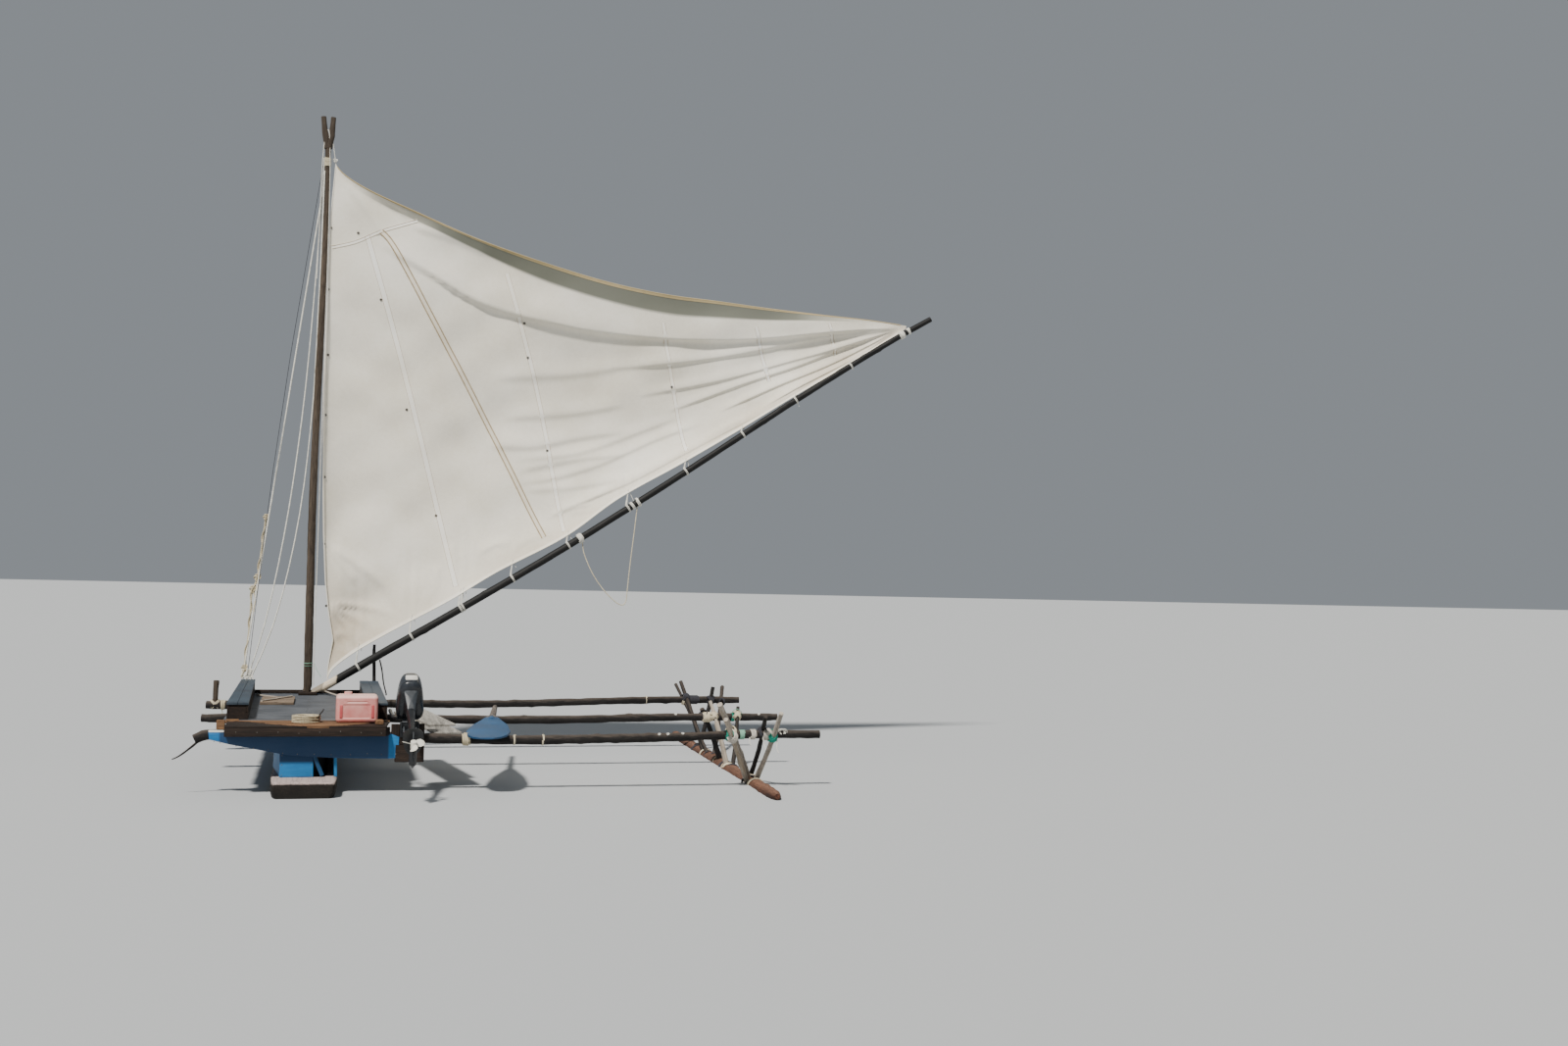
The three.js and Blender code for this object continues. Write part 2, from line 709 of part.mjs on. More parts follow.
SPARES.forEach(([name, x, y, z, long, wide, yaw, pitch]) => {
  const g = new THREE.BoxGeometry(wide, long, 20)
    .rotateX((pitch * Math.PI) / 180)
    .rotateZ((yaw * Math.PI) / 180)
    .translate(x, y, z);
  add(name, solid(g).subtract(stowed), FINISH.grey);
  stowed = stowed.add(made[name]);
});

// Rope coil on the edge plank: the outer shape of its turns
const COIL = { x: 4, y: -3830, mean: 100, wide: 26, h: 62 };
add(
  "rope_coil",
  solid(
    new THREE.LatheGeometry(
      [
        [COIL.mean - COIL.wide, 0],
        [COIL.mean + COIL.wide, 0],
        [COIL.mean + COIL.wide, COIL.h],
        [COIL.mean - COIL.wide, COIL.h],
        [COIL.mean - COIL.wide, 0],
      ].map((p) => new THREE.Vector2(...p)),
      24,
    )
      .rotateX(Math.PI / 2)
      .translate(COIL.x, COIL.y, DECK_TOP + GAP),
  ),
  FINISH.rope,
);

// Outboard motor, drawn upright about its tilt pin and then tilted up
const [MX, MY, MZ] = MOTOR_PIVOT;
add(
  "motor_board",
  box(788, 1000, MY + 52, MY + 94, 425, 600).subtract(beamCut),
  FINISH.grey,
);
const clampFrame = box(-80, 80, 49, 98, -5, 10)
  .add(box(-80, 80, 36, 51.7, -120, 10))
  .add(box(-80, 80, 94.3, 108, -70, 10))
  .add(box(-80, -66, -14, 50, -60, 14))
  .add(box(66, 80, -14, 50, -60, 14));
add("motor_clamp", clampFrame.translate([MX, MY, MZ - 14]), FINISH.metal);
const placeMotor = (s) => s.rotate([-MOTOR_TILT, 0, 0]).translate(MOTOR_PIVOT);

// Ring in a level plane, rounded and drawn narrower to the rear
const podRing = (z, front, rear, half, rearHalf, n = 16) =>
  Array.from({ length: n }, (_, i) => {
    const a = (i / n) * 2 * Math.PI;
    const s = Math.sign(Math.sin(a)) * Math.abs(Math.sin(a)) ** 0.6;
    const c = Math.sign(Math.cos(a)) * Math.abs(Math.cos(a)) ** 0.6;
    const y = (front + rear) / 2 + ((front - rear) / 2) * s;
    const t = (y - rear) / (front - rear);
    return new THREE.Vector3(c * (rearHalf + (half - rearHalf) * t), y, z);
  });
const podStack = (rows) => skin(rows.map((r) => podRing(...r)));
add(
  "motor_swivel",
  placeMotor(
    cylinder([GAP - 66, 0, 0], [66 - GAP, 0, 0], 11)
      .add(box(-24, 24, STEER_Y, 8, -34, 8))
      .add(cylinder([0, STEER_Y, -230], [0, STEER_Y, 20], 21)),
  ),
  FINISH.metal,
);
const COWL = [
  // z, front y, rear y, front half width, rear half width
  [84, 10, -300, 102, 72],
  [110, 52, -334, 131, 92],
  [210, 74, -344, 135, 92],
  [290, 60, -326, 123, 81],
  [330, 14, -270, 90, 60],
];
const grown = COWL.map(([z, front, rear, half, rearHalf]) =>
  [z, front + 0.5, rear - 0.5, half + 0.5, rearHalf + 0.5]);
const cowl = podStack(COWL);
add("motor_cowl", placeMotor(cowl), FINISH.black);
const leg = podStack([
  [84 - GAP, -4, -224, 66, 50],
  [40, -40, -196, 48, 40],
  [24, -20, -190, 40, 34],
])
  .add(podStack([[36, -78, -190, 40, 34], [-230, -82, -180, 30, 22], [-640, -88, -168, 17, 11],
    [-700, -88, -168, 17, 11]]))
  .add(box(-30, 30, -110, STEER_Y - 15, -262, -236))
  .add(cylinder([0, STEER_Y, -262], [0, STEER_Y, -230 - GAP], 24))
  .add(podStack([[-610, -60, -262, 52, 74], [-602, -60, -262, 52, 74]]))
  .add(pole([[0, -20, PROP_Z], [0, -60, PROP_Z], [0, -172, PROP_Z]], 32, 32, { steps: 6 }))
  .add(pole([[0, -24, PROP_Z], [0, 16, PROP_Z]], 31, 8, { steps: 3 }))
  .add(board(xy([[-56, -700], [-150, -700], [-166, -860], [-96, -850]]), 8,
    (g) => g.rotateX(Math.PI / 2).rotateZ(Math.PI / 2).translate(-4, 0, 0)));
add("motor_leg", placeMotor(leg), FINISH.black);
add(
  "motor_tiller",
  placeMotor(
    pole([[-100, 30, 120], [-130, 62, 190], [-150, 100, 340], [-156, 112, 400]], 15, 17)
      .subtract(podStack(grown)),
  ),
  FINISH.black,
);

// Propeller: three blades pitched about a hub on the gearcase
const BLADES = 3;
const propBlade = skin(
  [
    // radius, half chord, half thickness, pitch in degrees
    [20, 18, 4, 48],
    [50, 34, 3.5, 36],
    [82, 34, 2.5, 27],
    [100, 14, 1.5, 22],
  ].map(([r, chord, t, pitch]) => {
    const p = (pitch * Math.PI) / 180;
    return [[-1, 0], [0, -1], [1, 0], [0, 1]].map(([a, b]) => {
      const along = a * chord * Math.cos(p) - b * t * Math.sin(p);
      const off = a * chord * Math.sin(p) + b * t * Math.cos(p);
      return new THREE.Vector3(along, off, r);
    });
  }),
);
let propeller = cylinder([0, -32, 0], [0, 33 - GAP, 0], 26);
for (let k = 0; k < BLADES; k++)
  propeller = propeller.add(propBlade.rotate([0, (360 / BLADES) * k + 180, 0]));
add("propeller", placeMotor(propeller.translate([0, PROP_Y, PROP_Z])), FINISH.white);

export default canoe;
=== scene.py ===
"""Looks of the sailing outrigger canoe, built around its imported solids.

Lengths are metres, and millimetres in the tables that say so.
+X points to the float, +Y to the bow and +Z up, from the waterline amidships.
"""

import math

import bmesh
import bpy
import numpy as np
from mathutils import Matrix, Vector


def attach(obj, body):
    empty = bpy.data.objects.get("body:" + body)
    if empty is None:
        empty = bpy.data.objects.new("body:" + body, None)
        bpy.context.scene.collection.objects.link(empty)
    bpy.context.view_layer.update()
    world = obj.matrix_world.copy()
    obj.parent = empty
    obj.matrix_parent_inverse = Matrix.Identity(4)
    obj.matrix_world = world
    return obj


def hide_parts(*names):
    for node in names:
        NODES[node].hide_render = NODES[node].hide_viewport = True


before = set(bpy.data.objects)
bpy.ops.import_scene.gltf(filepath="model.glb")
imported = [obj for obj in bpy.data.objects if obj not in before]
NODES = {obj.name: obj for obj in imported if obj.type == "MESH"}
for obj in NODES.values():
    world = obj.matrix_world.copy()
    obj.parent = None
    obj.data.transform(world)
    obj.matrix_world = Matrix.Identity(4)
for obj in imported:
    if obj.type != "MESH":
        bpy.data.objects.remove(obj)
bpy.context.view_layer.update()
MM = 0.001
TURN = 2 * math.pi

# Camera: the photograph's view, for an image of 1600 by 1067 pixels
IMAGE_WIDTH = 1600
FOCAL_PIXELS = 1700
SENSOR = 36.0  # millimetres
CAMERA_AT = Vector((0.1608, -18.8935, 1.95))
YAW, PITCH, ROLL = (math.radians(a) for a in (15.2, 1.858, 1.3))


def place_camera():
    forward = Vector((math.sin(YAW) * math.cos(PITCH), math.cos(YAW) * math.cos(PITCH), math.sin(PITCH)))
    level = Vector((math.cos(YAW), -math.sin(YAW), 0))
    upright = level.cross(forward)
    right = level * math.cos(ROLL) + upright * math.sin(ROLL)
    up = upright * math.cos(ROLL) - level * math.sin(ROLL)
    camera = bpy.data.objects.new("camera", bpy.data.cameras.new("camera"))
    camera.data.sensor_width = SENSOR
    camera.data.lens = SENSOR * FOCAL_PIXELS / IMAGE_WIDTH
    camera.data.clip_end = 500
    turned = Matrix((right, up, -forward)).transposed().to_4x4()
    camera.matrix_world = Matrix.Translation(CAMERA_AT) @ turned
    bpy.context.scene.collection.objects.link(camera)
    bpy.context.scene.camera = camera


place_camera()


# Finishes: one function turns hex colours to linear, one adds a node
def linear(hex_colour):
    parts = [int(hex_colour[i:i + 2], 16) / 255 for i in (1, 3, 5)]
    return tuple(c / 12.92 if c <= 0.04045 else ((c + 0.055) / 1.055) ** 2.4 for c in parts) + (1.0,)


def put(tree, kind, links=None, stops=None, **settings):
    """Adds a shader node. links feeds its inputs by name or number, from sockets or values."""
    node = tree.nodes.new("ShaderNode" + kind)
    for name, value in settings.items():
        setattr(node, name, value)
    for key, value in (links or {}).items():
        if isinstance(value, bpy.types.NodeSocket):
            tree.links.new(value, node.inputs[key])
        else:
            node.inputs[key].default_value = linear(value) if isinstance(value, str) else value
    if stops:
        while len(node.color_ramp.elements) < len(stops):
            node.color_ramp.elements.new(1.0)
        for element, (place, colour) in zip(node.color_ramp.elements, stops):
            element.position = place
            element.color = linear(colour)
    return node


def begin(name):
    """A new material's tree, with its surface shader and output joined."""
    material = bpy.data.materials.new(name)
    material.use_nodes = True
    tree = material.node_tree
    tree.nodes.clear()
    shader = put(tree, "BsdfPrincipled")
    put(tree, "OutputMaterial", {"Surface": shader.outputs[0]})
    return material, tree, shader


def fixed(shader, **values):
    """Sets the shader's own sockets to numbers that are the same all over the surface."""
    for name, value in values.items():
        shader.inputs[name.replace("_", " ")].default_value = value


def grain_space(tree, axis, width, stretch):
    """Coordinates in which one unit is a fibre's width across and stretch widths along it.

    axis is X, Y or Z in the row frame, or None for a piece that carries its own grain."""
    if axis is None:
        source = put(tree, "Attribute", attribute_name="grain").outputs["Vector"]
        axis = "Z"
    else:
        source = put(tree, "TexCoord").outputs["Object"]
    scale = [1 / width] * 3
    scale["XYZ".index(axis)] = 1 / (width * stretch)
    return put(tree, "Mapping", {"Vector": source, "Scale": scale}).outputs[0]


def wood(name, dark, middle, light, axis=None, width=0.006, stretch=14, rough=(0.75, 0.92), relief=0.0012,
         bleach_and_lit_top=None, wet=None, patch=None, bare=None):
    """Bare timber: fibre streaks, long drying cracks, wet staining low down, and a paler top that is both sun bleaching
    and painted light from the high sun.

    bleach is (colour, amount) on faces that look up, wet (colour, height in metres) below a
    height, patch (colour, amount) blotches a hand wide, and bare the two colours of a stretch
    without tar that the piece itself marks."""
    material, tree, shader = begin(name)
    space = grain_space(tree, axis, width, stretch)
    fibre = put(tree, "TexNoise", {"Vector": space, "Scale": 1.0, "Detail": 7.0, "Roughness": 0.62})
    colour = put(tree, "ValToRGB", {0: fibre.outputs[0]}, stops=[(0.3, dark), (0.5, middle), (0.72, light)]).outputs[0]
    broad = put(tree, "TexNoise", {"Vector": space, "Scale": 0.11, "Detail": 3.0})
    shade = put(tree, "ValToRGB", {0: broad.outputs[0]}, stops=[(0.3, "#8C8C8C"), (0.7, "#FFFFFF")])
    colour = put(tree, "MixRGB", {0: 0.8, 1: colour, 2: shade.outputs[0]}, blend_type="MULTIPLY").outputs[0]
    up = None
    if bleach_and_lit_top or wet:
        geometry = put(tree, "NewGeometry")
        up = put(tree, "SeparateXYZ", {0: geometry.outputs["Normal"]}).outputs[2]
        height = put(tree, "SeparateXYZ", {0: geometry.outputs["Position"]}).outputs[2]
    if patch:
        blotch = put(tree, "TexNoise", {"Vector": space, "Scale": 0.05, "Detail": 5.0, "Roughness": 0.7})
        where = put(tree, "MapRange", {0: blotch.outputs[0], 1: 0.5, 2: 0.62, 4: patch[1]})
        colour = put(tree, "MixRGB", {0: where.outputs[0], 1: colour, 2: patch[0]}).outputs[0]
    # sun bleaching and painted light: faces that look up are mixed towards the paler colour, as where the high sun
    # falls
    if bleach_and_lit_top:
        uneven = put(tree, "Math", {0: fibre.outputs[0], 1: up}, operation="ADD").outputs[0]
        where = put(tree, "MapRange", {0: uneven, 1: 0.75, 2: 1.4, 4: bleach_and_lit_top[1]})
        colour = put(tree, "MixRGB", {0: where.outputs[0], 1: colour, 2: bleach_and_lit_top[0]}).outputs[0]
    if wet:
        edge = put(tree, "Math", {0: broad.outputs[0], 1: 0.12, 2: height}, operation="MULTIPLY_ADD").outputs[0]
        where = put(tree, "MapRange", {0: edge, 1: wet[1] + 0.12, 2: wet[1] + 0.02, 4: 0.9})
        colour = put(tree, "MixRGB", {0: where.outputs[0], 1: colour, 2: wet[0]}).outputs[0]
    split = put(tree, "Mapping", {"Vector": space, "Scale": (0.4, 0.4, 0.4)}).outputs[0]
    cell = put(tree, "TexVoronoi", {"Vector": split, "Scale": 1.0}, feature="DISTANCE_TO_EDGE")
    crack = put(tree, "MapRange", {0: cell.outputs[0], 1: 0.0, 2: 0.05, 3: 0.35, 4: 1.0}).outputs[0]
    colour = put(tree, "MixRGB", {0: 0.7, 1: colour, 2: crack}, blend_type="MULTIPLY").outputs[0]
    if bare:
        under = put(tree, "ValToRGB", {0: fibre.outputs[0]}, stops=[(0.35, bare[0]), (0.65, bare[1])]).outputs[0]
        marked = put(tree, "Attribute", attribute_name="bare").outputs["Fac"]
        colour = put(tree, "MixRGB", {0: marked, 1: colour, 2: under}).outputs[0]
    height_map = put(tree, "Math", {0: fibre.outputs[0], 1: crack}, operation="MULTIPLY").outputs[0]
    bump = put(tree, "Bump", {"Height": height_map, "Distance": relief, "Strength": 0.9})
    gloss = put(tree, "MapRange", {0: fibre.outputs[0], 3: rough[0], 4: rough[1]})
    tree.links.new(colour, shader.inputs["Base Color"])
    tree.links.new(bump.outputs[0], shader.inputs["Normal"])
    tree.links.new(gloss.outputs[0], shader.inputs["Roughness"])
    fixed(shader, Specular_IOR_Level=0.3)
    return material


def board_paint(name, paint, faded, timber, axis="X", wear=0.5, rough=(0.45, 0.7), painted_shade_colour=None):
    """Brushed oil paint on rough boards: faded patches, brush streaks and chips down to the timber.

    The last colour is painted shade: it is laid on the paint under the stern boards, within 0.7 m of the middle and
    above 0.25 m, where their shadow falls."""
    material, tree, shader = begin(name)
    space = grain_space(tree, axis, 0.009, 16)
    streak = put(tree, "TexNoise", {"Vector": space, "Scale": 1.0, "Detail": 6.0, "Roughness": 0.6})
    place = put(tree, "TexCoord").outputs["Object"]
    cloud = put(tree, "TexNoise", {"Vector": place, "Scale": 2.6, "Detail": 5.0, "Roughness": 0.62})
    tone = put(tree, "Math", {0: streak.outputs[0], 1: 0.45, 2: cloud.outputs[0]}, operation="MULTIPLY_ADD").outputs[0]
    colour = put(tree, "ValToRGB", {0: tone}, stops=[(0.5, paint), (0.95, faded)]).outputs[0]
    if painted_shade_colour:
        # painted shade: the stern boards' shadow, as darker paint inside |x| 0.7 m, above z 0.27 m and aft of y -3.9 m
        x, y, z = put(tree, "SeparateXYZ", {0: place}).outputs
        across = put(tree, "Math", {0: x}, operation="ABSOLUTE").outputs[0]
        inward = put(tree, "MapRange", {0: across, 1: 0.706, 2: 0.69}).outputs[0]
        above = put(tree, "MapRange", {0: z, 1: 0.25, 2: 0.28}).outputs[0]
        astern = put(tree, "MapRange", {0: y, 1: -3.9, 2: -3.95}).outputs[0]
        share = put(tree, "Math", {0: inward, 1: above}, operation="MULTIPLY").outputs[0]
        share = put(tree, "Math", {0: share, 1: astern}, operation="MULTIPLY").outputs[0]
        colour = put(tree, "MixRGB", {0: share, 1: colour, 2: painted_shade_colour}).outputs[0]
    chip = put(tree, "TexNoise", {"Vector": space, "Scale": 0.35, "Detail": 8.0, "Roughness": 0.75})
    bare = put(tree, "MapRange", {0: chip.outputs[0], 1: 0.71 - 0.09 * wear, 2: 0.75 - 0.09 * wear}).outputs[0]
    colour = put(tree, "MixRGB", {0: bare, 1: colour, 2: timber}).outputs[0]
    level = put(tree, "Math", {0: streak.outputs[0], 1: bare}, operation="SUBTRACT").outputs[0]
    bump = put(tree, "Bump", {"Height": level, "Distance": 0.0008, "Strength": 0.7})
    gloss = put(tree, "MapRange", {0: tone, 1: 0.4, 2: 1.0, 3: rough[0], 4: rough[1]})
    tree.links.new(colour, shader.inputs["Base Color"])
    tree.links.new(bump.outputs[0], shader.inputs["Normal"])
    tree.links.new(gloss.outputs[0], shader.inputs["Roughness"])
    return material


def fibre_rope(name, shaded, lit, yarn=0.0011, rough=0.9):
    """Laid rope or twine: yarns that show as fine stripes round each strand, with soiled stretches."""
    material, tree, shader = begin(name)
    grain = put(tree, "Attribute", attribute_name="grain").outputs["Vector"]
    across = put(tree, "Mapping", {"Vector": grain, "Scale": (1 / yarn, 1 / yarn, 0.12 / yarn)}).outputs[0]
    yarns = put(tree, "TexNoise", {"Vector": across, "Scale": 1.0, "Detail": 3.0})
    soil = put(tree, "TexNoise", {"Vector": grain, "Scale": 14.0, "Detail": 4.0})
    tone = put(tree, "Math", {0: yarns.outputs[0], 1: 0.6, 2: soil.outputs[0]}, operation="MULTIPLY_ADD").outputs[0]
    colour = put(tree, "ValToRGB", {0: tone}, stops=[(0.45, shaded), (1.0, lit)]).outputs[0]
    bump = put(tree, "Bump", {"Height": yarns.outputs[0], "Distance": 0.0006, "Strength": 0.8})
    tree.links.new(colour, shader.inputs["Base Color"])
    tree.links.new(bump.outputs[0], shader.inputs["Normal"])
    fixed(shader, Roughness=rough, Specular_IOR_Level=0.25)
    return material


def woven_canvas(name, shaded, lit, stain, painted_flap_shade=None):
    """Cotton duck sewn into a sail: a plain weave, soft mottling, and brown soiling near the boom.

    The yarns are a millimetre apart, too fine to show, so the weave is drawn at 5 mm."""
    material, tree, shader = begin(name)
    place = put(tree, "TexCoord").outputs["Object"]
    cloud = put(tree, "TexNoise", {"Vector": place, "Scale": 1.1, "Detail": 6.0, "Roughness": 0.55})
    fleck = put(tree, "TexNoise", {"Vector": place, "Scale": 26.0, "Detail": 4.0, "Roughness": 0.7})
    tone = put(tree, "Math", {0: fleck.outputs[0], 1: 0.3, 2: cloud.outputs[0]}, operation="MULTIPLY_ADD").outputs[0]
    colour = put(tree, "ValToRGB", {0: tone}, stops=[(0.45, shaded), (0.85, lit)]).outputs[0]
    soiled = put(tree, "Attribute", attribute_name="soiled").outputs["Fac"]
    smear = put(tree, "TexNoise", {"Vector": place, "Scale": 5.0, "Detail": 7.0, "Roughness": 0.7})
    amount = put(tree, "Math", {0: soiled, 1: smear.outputs[0]}, operation="MULTIPLY").outputs[0]
    colour = put(tree, "MixRGB", {0: amount, 1: colour, 2: stain}).outputs[0]
    # painted shade: the turned leech edge is mixed to a dark grey-green, standing in for the shade on its underside
    if painted_flap_shade:
        turned = put(tree, "Attribute", attribute_name="turned").outputs["Fac"]
        colour = put(tree, "MixRGB", {0: turned, 1: colour, 2: painted_flap_shade}).outputs[0]
    warp = put(tree, "TexWave", {"Vector": place, "Scale": 62.0}, bands_direction="X")
    weft = put(tree, "TexWave", {"Vector": place, "Scale": 62.0}, bands_direction="Z")
    weave = put(tree, "Math", {0: warp.outputs["Fac"], 1: weft.outputs["Fac"]}, operation="MAXIMUM").outputs[0]
    rumple = put(tree, "Math", {0: cloud.outputs[0], 1: 14.0, 2: weave}, operation="MULTIPLY_ADD").outputs[0]
    bump = put(tree, "Bump", {"Height": rumple, "Distance": 0.0006, "Strength": 0.5})
    tree.links.new(colour, shader.inputs["Base Color"])
    tree.links.new(bump.outputs[0], shader.inputs["Normal"])
    fixed(shader, Roughness=0.88, Specular_IOR_Level=0.2, Sheen_Weight=0.15, Sheen_Roughness=0.5)
    return material


def moulded(name, colour, worn, rough=(0.3, 0.5), texture=0.0016, chalk_and_lit_top=None):
    """Moulded plastic: a fine pebble from the mould, scuffs, and a paler top that is both chalky fading from the sun
    and painted light where the sun falls.
    """
    material, tree, shader = begin(name)
    place = put(tree, "TexCoord").outputs["Object"]
    cloud = put(tree, "TexNoise", {"Vector": place, "Scale": 9.0, "Detail": 6.0, "Roughness": 0.65})
    tint = put(tree, "ValToRGB", {0: cloud.outputs[0]}, stops=[(0.35, colour), (0.7, worn)]).outputs[0]
    # chalky fading and painted light: faces that look up are mixed towards the paler colour
    if chalk_and_lit_top:
        normal = put(tree, "NewGeometry").outputs["Normal"]
        up = put(tree, "SeparateXYZ", {0: normal}).outputs[2]
        where = put(tree, "MapRange", {0: up, 1: -0.1, 2: 0.75, 4: chalk_and_lit_top[1]})
        tint = put(tree, "MixRGB", {0: where.outputs[0], 1: tint, 2: chalk_and_lit_top[0]}).outputs[0]
    pebble = put(tree, "TexVoronoi", {"Vector": place, "Scale": 1 / texture})
    bump = put(tree, "Bump", {"Height": pebble.outputs[0], "Distance": 0.0002, "Strength": 0.4})
    gloss = put(tree, "MapRange", {0: cloud.outputs[0], 1: 0.35, 2: 0.65, 3: rough[0], 4: rough[1]})
    tree.links.new(tint, shader.inputs["Base Color"])
    tree.links.new(bump.outputs[0], shader.inputs["Normal"])
    tree.links.new(gloss.outputs[0], shader.inputs["Roughness"])
    return material


def metal(name, colour, dull, metallic, rough=(0.35, 0.6), cast=0.003):
    """Cast or forged metal, bare or enamelled: a sandy casting skin with dull, salty blotches."""
    material, tree, shader = begin(name)
    place = put(tree, "TexCoord").outputs["Object"]
    cloud = put(tree, "TexNoise", {"Vector": place, "Scale": 18.0, "Detail": 7.0, "Roughness": 0.7})
    tint = put(tree, "ValToRGB", {0: cloud.outputs[0]}, stops=[(0.4, colour), (0.75, dull)]).outputs[0]
    skin = put(tree, "TexNoise", {"Vector": place, "Scale": 1 / cast, "Detail": 2.0})
    bump = put(tree, "Bump", {"Height": skin.outputs[0], "Distance": 0.0003, "Strength": 0.4})
    gloss = put(tree, "MapRange", {0: cloud.outputs[0], 1: 0.35, 2: 0.7, 3: rough[0], 4: rough[1]})
    tree.links.new(tint, shader.inputs["Base Color"])
    tree.links.new(bump.outputs[0], shader.inputs["Normal"])
    tree.links.new(gloss.outputs[0], shader.inputs["Roughness"])
    fixed(shader, Metallic=metallic)
    return material


# The paler colour on faces that look up is sun bleaching and painted light from the high sun.
HULL_WOOD = wood("adzed_dugout_hardwood", "#15120F", "#231E1A", "#38302A", axis="Y", width=0.014, stretch=22,
                 relief=0.003, bleach_and_lit_top=("#B5A5A0", 0.95), wet=("#14120E", 0.05))
BARK = wood("weathered_pole_bark", "#141312", "#242120", "#3C3733", width=0.007, stretch=9, relief=0.0025,
            bleach_and_lit_top=("#5A5048", 0.6), patch=("#120F0E", 0.7))
MAST_WOOD = wood("debarked_mast_pole", "#3A322A", "#5A4E42", "#786A5A", width=0.006, stretch=24, relief=0.0015,
                 patch=("#2A241F", 0.7))
PEELED = wood("peeled_mangrove_stick", "#A2978A", "#CABFB0", "#E8E1D4", width=0.005, stretch=16, relief=0.001,
              patch=("#9A8464", 0.4))
FLOAT_WOOD = wood("soaked_float_log", "#3E241B", "#633C2C", "#84543E", width=0.010, stretch=14, relief=0.003,
                  bleach_and_lit_top=("#94705C", 0.5), wet=("#2C1A13", 0.0))
DRIFT_BOARD = wood("driftwood_grey_board", "#8A867F", "#A8A49C", "#C9C6BF", axis="Y", width=0.006, stretch=26,
                   relief=0.001)
EDGE_PLANK = wood("worn_tan_edge_plank", "#4A3020", "#8A6648", "#B08C68", axis="X", width=0.007, stretch=18,
                  relief=0.002, patch=("#2E2018", 0.8))
TAN_BOARD = wood("loose_tan_board", "#66564A", "#8C7A68", "#AE9E8A", axis="X", width=0.006, stretch=24)
DARK_BOARD = wood("oiled_dark_board", "#19130F", "#2B211B", "#43342A", width=0.007, stretch=22, relief=0.0012)
OAR_HANDLE = wood("hand_worn_oar_loom", "#5E5650", "#7E756D", "#A0968C", axis="Y", width=0.005, stretch=26,
                  relief=0.0008)
TARRED = wood("tarred_boom_pole", "#0B0B0C", "#161616", "#2A2927", width=0.006, stretch=20, rough=(0.5, 0.75),
              relief=0.0012, bare=("#B8A68C", "#E2D6C0"))
# its last colour is painted shade under the stern boards
BLUE_BOARD = board_paint("blue_oil_paint_on_board", "#0A5892", "#1B78B0", "#5C5348", axis="X", wear=0.25,
                         painted_shade_colour="#07365C")
BLUE_STRAKE = board_paint("blue_oil_paint_on_strake", "#0A5892", "#267CB0", "#5C5348", axis="Y", wear=0.5)
# real navy paint on the oar's blade, and painted shade on the riser brace
NAVY_PAINT_AND_BRACE_SHADE = board_paint("navy_oil_paint_and_brace_shade", "#0F3758", "#1F5078", "#4A4E52", axis="Y", wear=0.35)
SLATE_BOX = board_paint("slate_deck_paint_on_box", "#232D37", "#3C4A56", "#1E1C1A", axis=None, wear=0.4)
SLATE_DECK = board_paint("slate_deck_paint_on_plank", "#34383E", "#565A60", "#2C2824", axis=None, wear=0.6)
WHITE_EDGE = board_paint("white_paint_on_batten", "#D8D8D0", "#F0EEE6", "#8C8070", axis="X", wear=0.5)
# the last colour is painted shade on the sail's turned leech edge
CANVAS = woven_canvas("sewn_cotton_duck", "#E4DDCB", "#FAF5E8", "#A8895E", painted_flap_shade="#63675A")
HEM_CANVAS = woven_canvas("folded_duck_hem", "#F0EADA", "#FBF7EC", "#C4AC84")
# painted shade: a darker cloth for the first seam, standing in for the shadow along it
SHADED_SEAM = woven_canvas("duck_seam_painted_shade", "#DDD4C0", "#F2EBDA", "#A89470")
SEAM_CANVAS = woven_canvas("doubled_duck_seam", "#F4EEDF", "#FFFDF6", "#C0A880")
STITCHING = fibre_rope("waxed_seam_twine", "#8C7A5C", "#BCA888")
EDGE_TAPE = woven_canvas("tan_leech_tape", "#A8966C", "#C8B488", "#8A744A")
HEMP = fibre_rope("laid_hemp_rope", "#8F8368", "#D6CBAE")
WHITE_LINE = fibre_rope("laid_nylon_line", "#B8B6AC", "#F2F0E6")
CREAM_LINE = fibre_rope("soiled_cotton_cord", "#A2967C", "#E0D6BC")
TEAL_LINE = fibre_rope("teal_net_twine", "#0F6B5C", "#2FA68E")
GREEN_LINE = fibre_rope("pale_green_net_twine", "#5A9480", "#94C4AA")
DARK_LINE = fibre_rope("tarred_dark_line", "#1E1E22", "#44444A")
RAG = fibre_rope("torn_cotton_strip", "#8E8880", "#D4CEC2", yarn=0.002)
# the paler colour on top is chalky fading and painted light from the sun
TANK_RED = moulded("faded_polyethylene_can", "#C8706C", "#D89890", rough=(0.4, 0.55), chalk_and_lit_top=("#E2BCB2", 0.9))
TANK_DEEP = moulded("unfaded_polyethylene_lobe", "#B4484C", "#C4605E", rough=(0.35, 0.5))
COWL_BLACK = moulded("glossy_cowl_plastic", "#15181C", "#262A30", rough=(0.18, 0.34), chalk_and_lit_top=("#3A4048", 0.5))
GRIP_RUBBER = moulded("moulded_grip_rubber", "#101112", "#1C1D1E", rough=(0.7, 0.85))
PLATE_GREY = moulded("grey_cowl_insert", "#22262A", "#3A4046", rough=(0.3, 0.45))
PLATE_WHITE = moulded("blank_white_plate", "#C8C6C0", "#E0DED8", rough=(0.3, 0.45))
ENAMEL = metal("black_enamelled_casting", "#121417", "#24272A", 0.0, rough=(0.25, 0.5))
ALLOY = metal("bare_cast_aluminium", "#8C9094", "#5E6266", 1.0, rough=(0.35, 0.6))
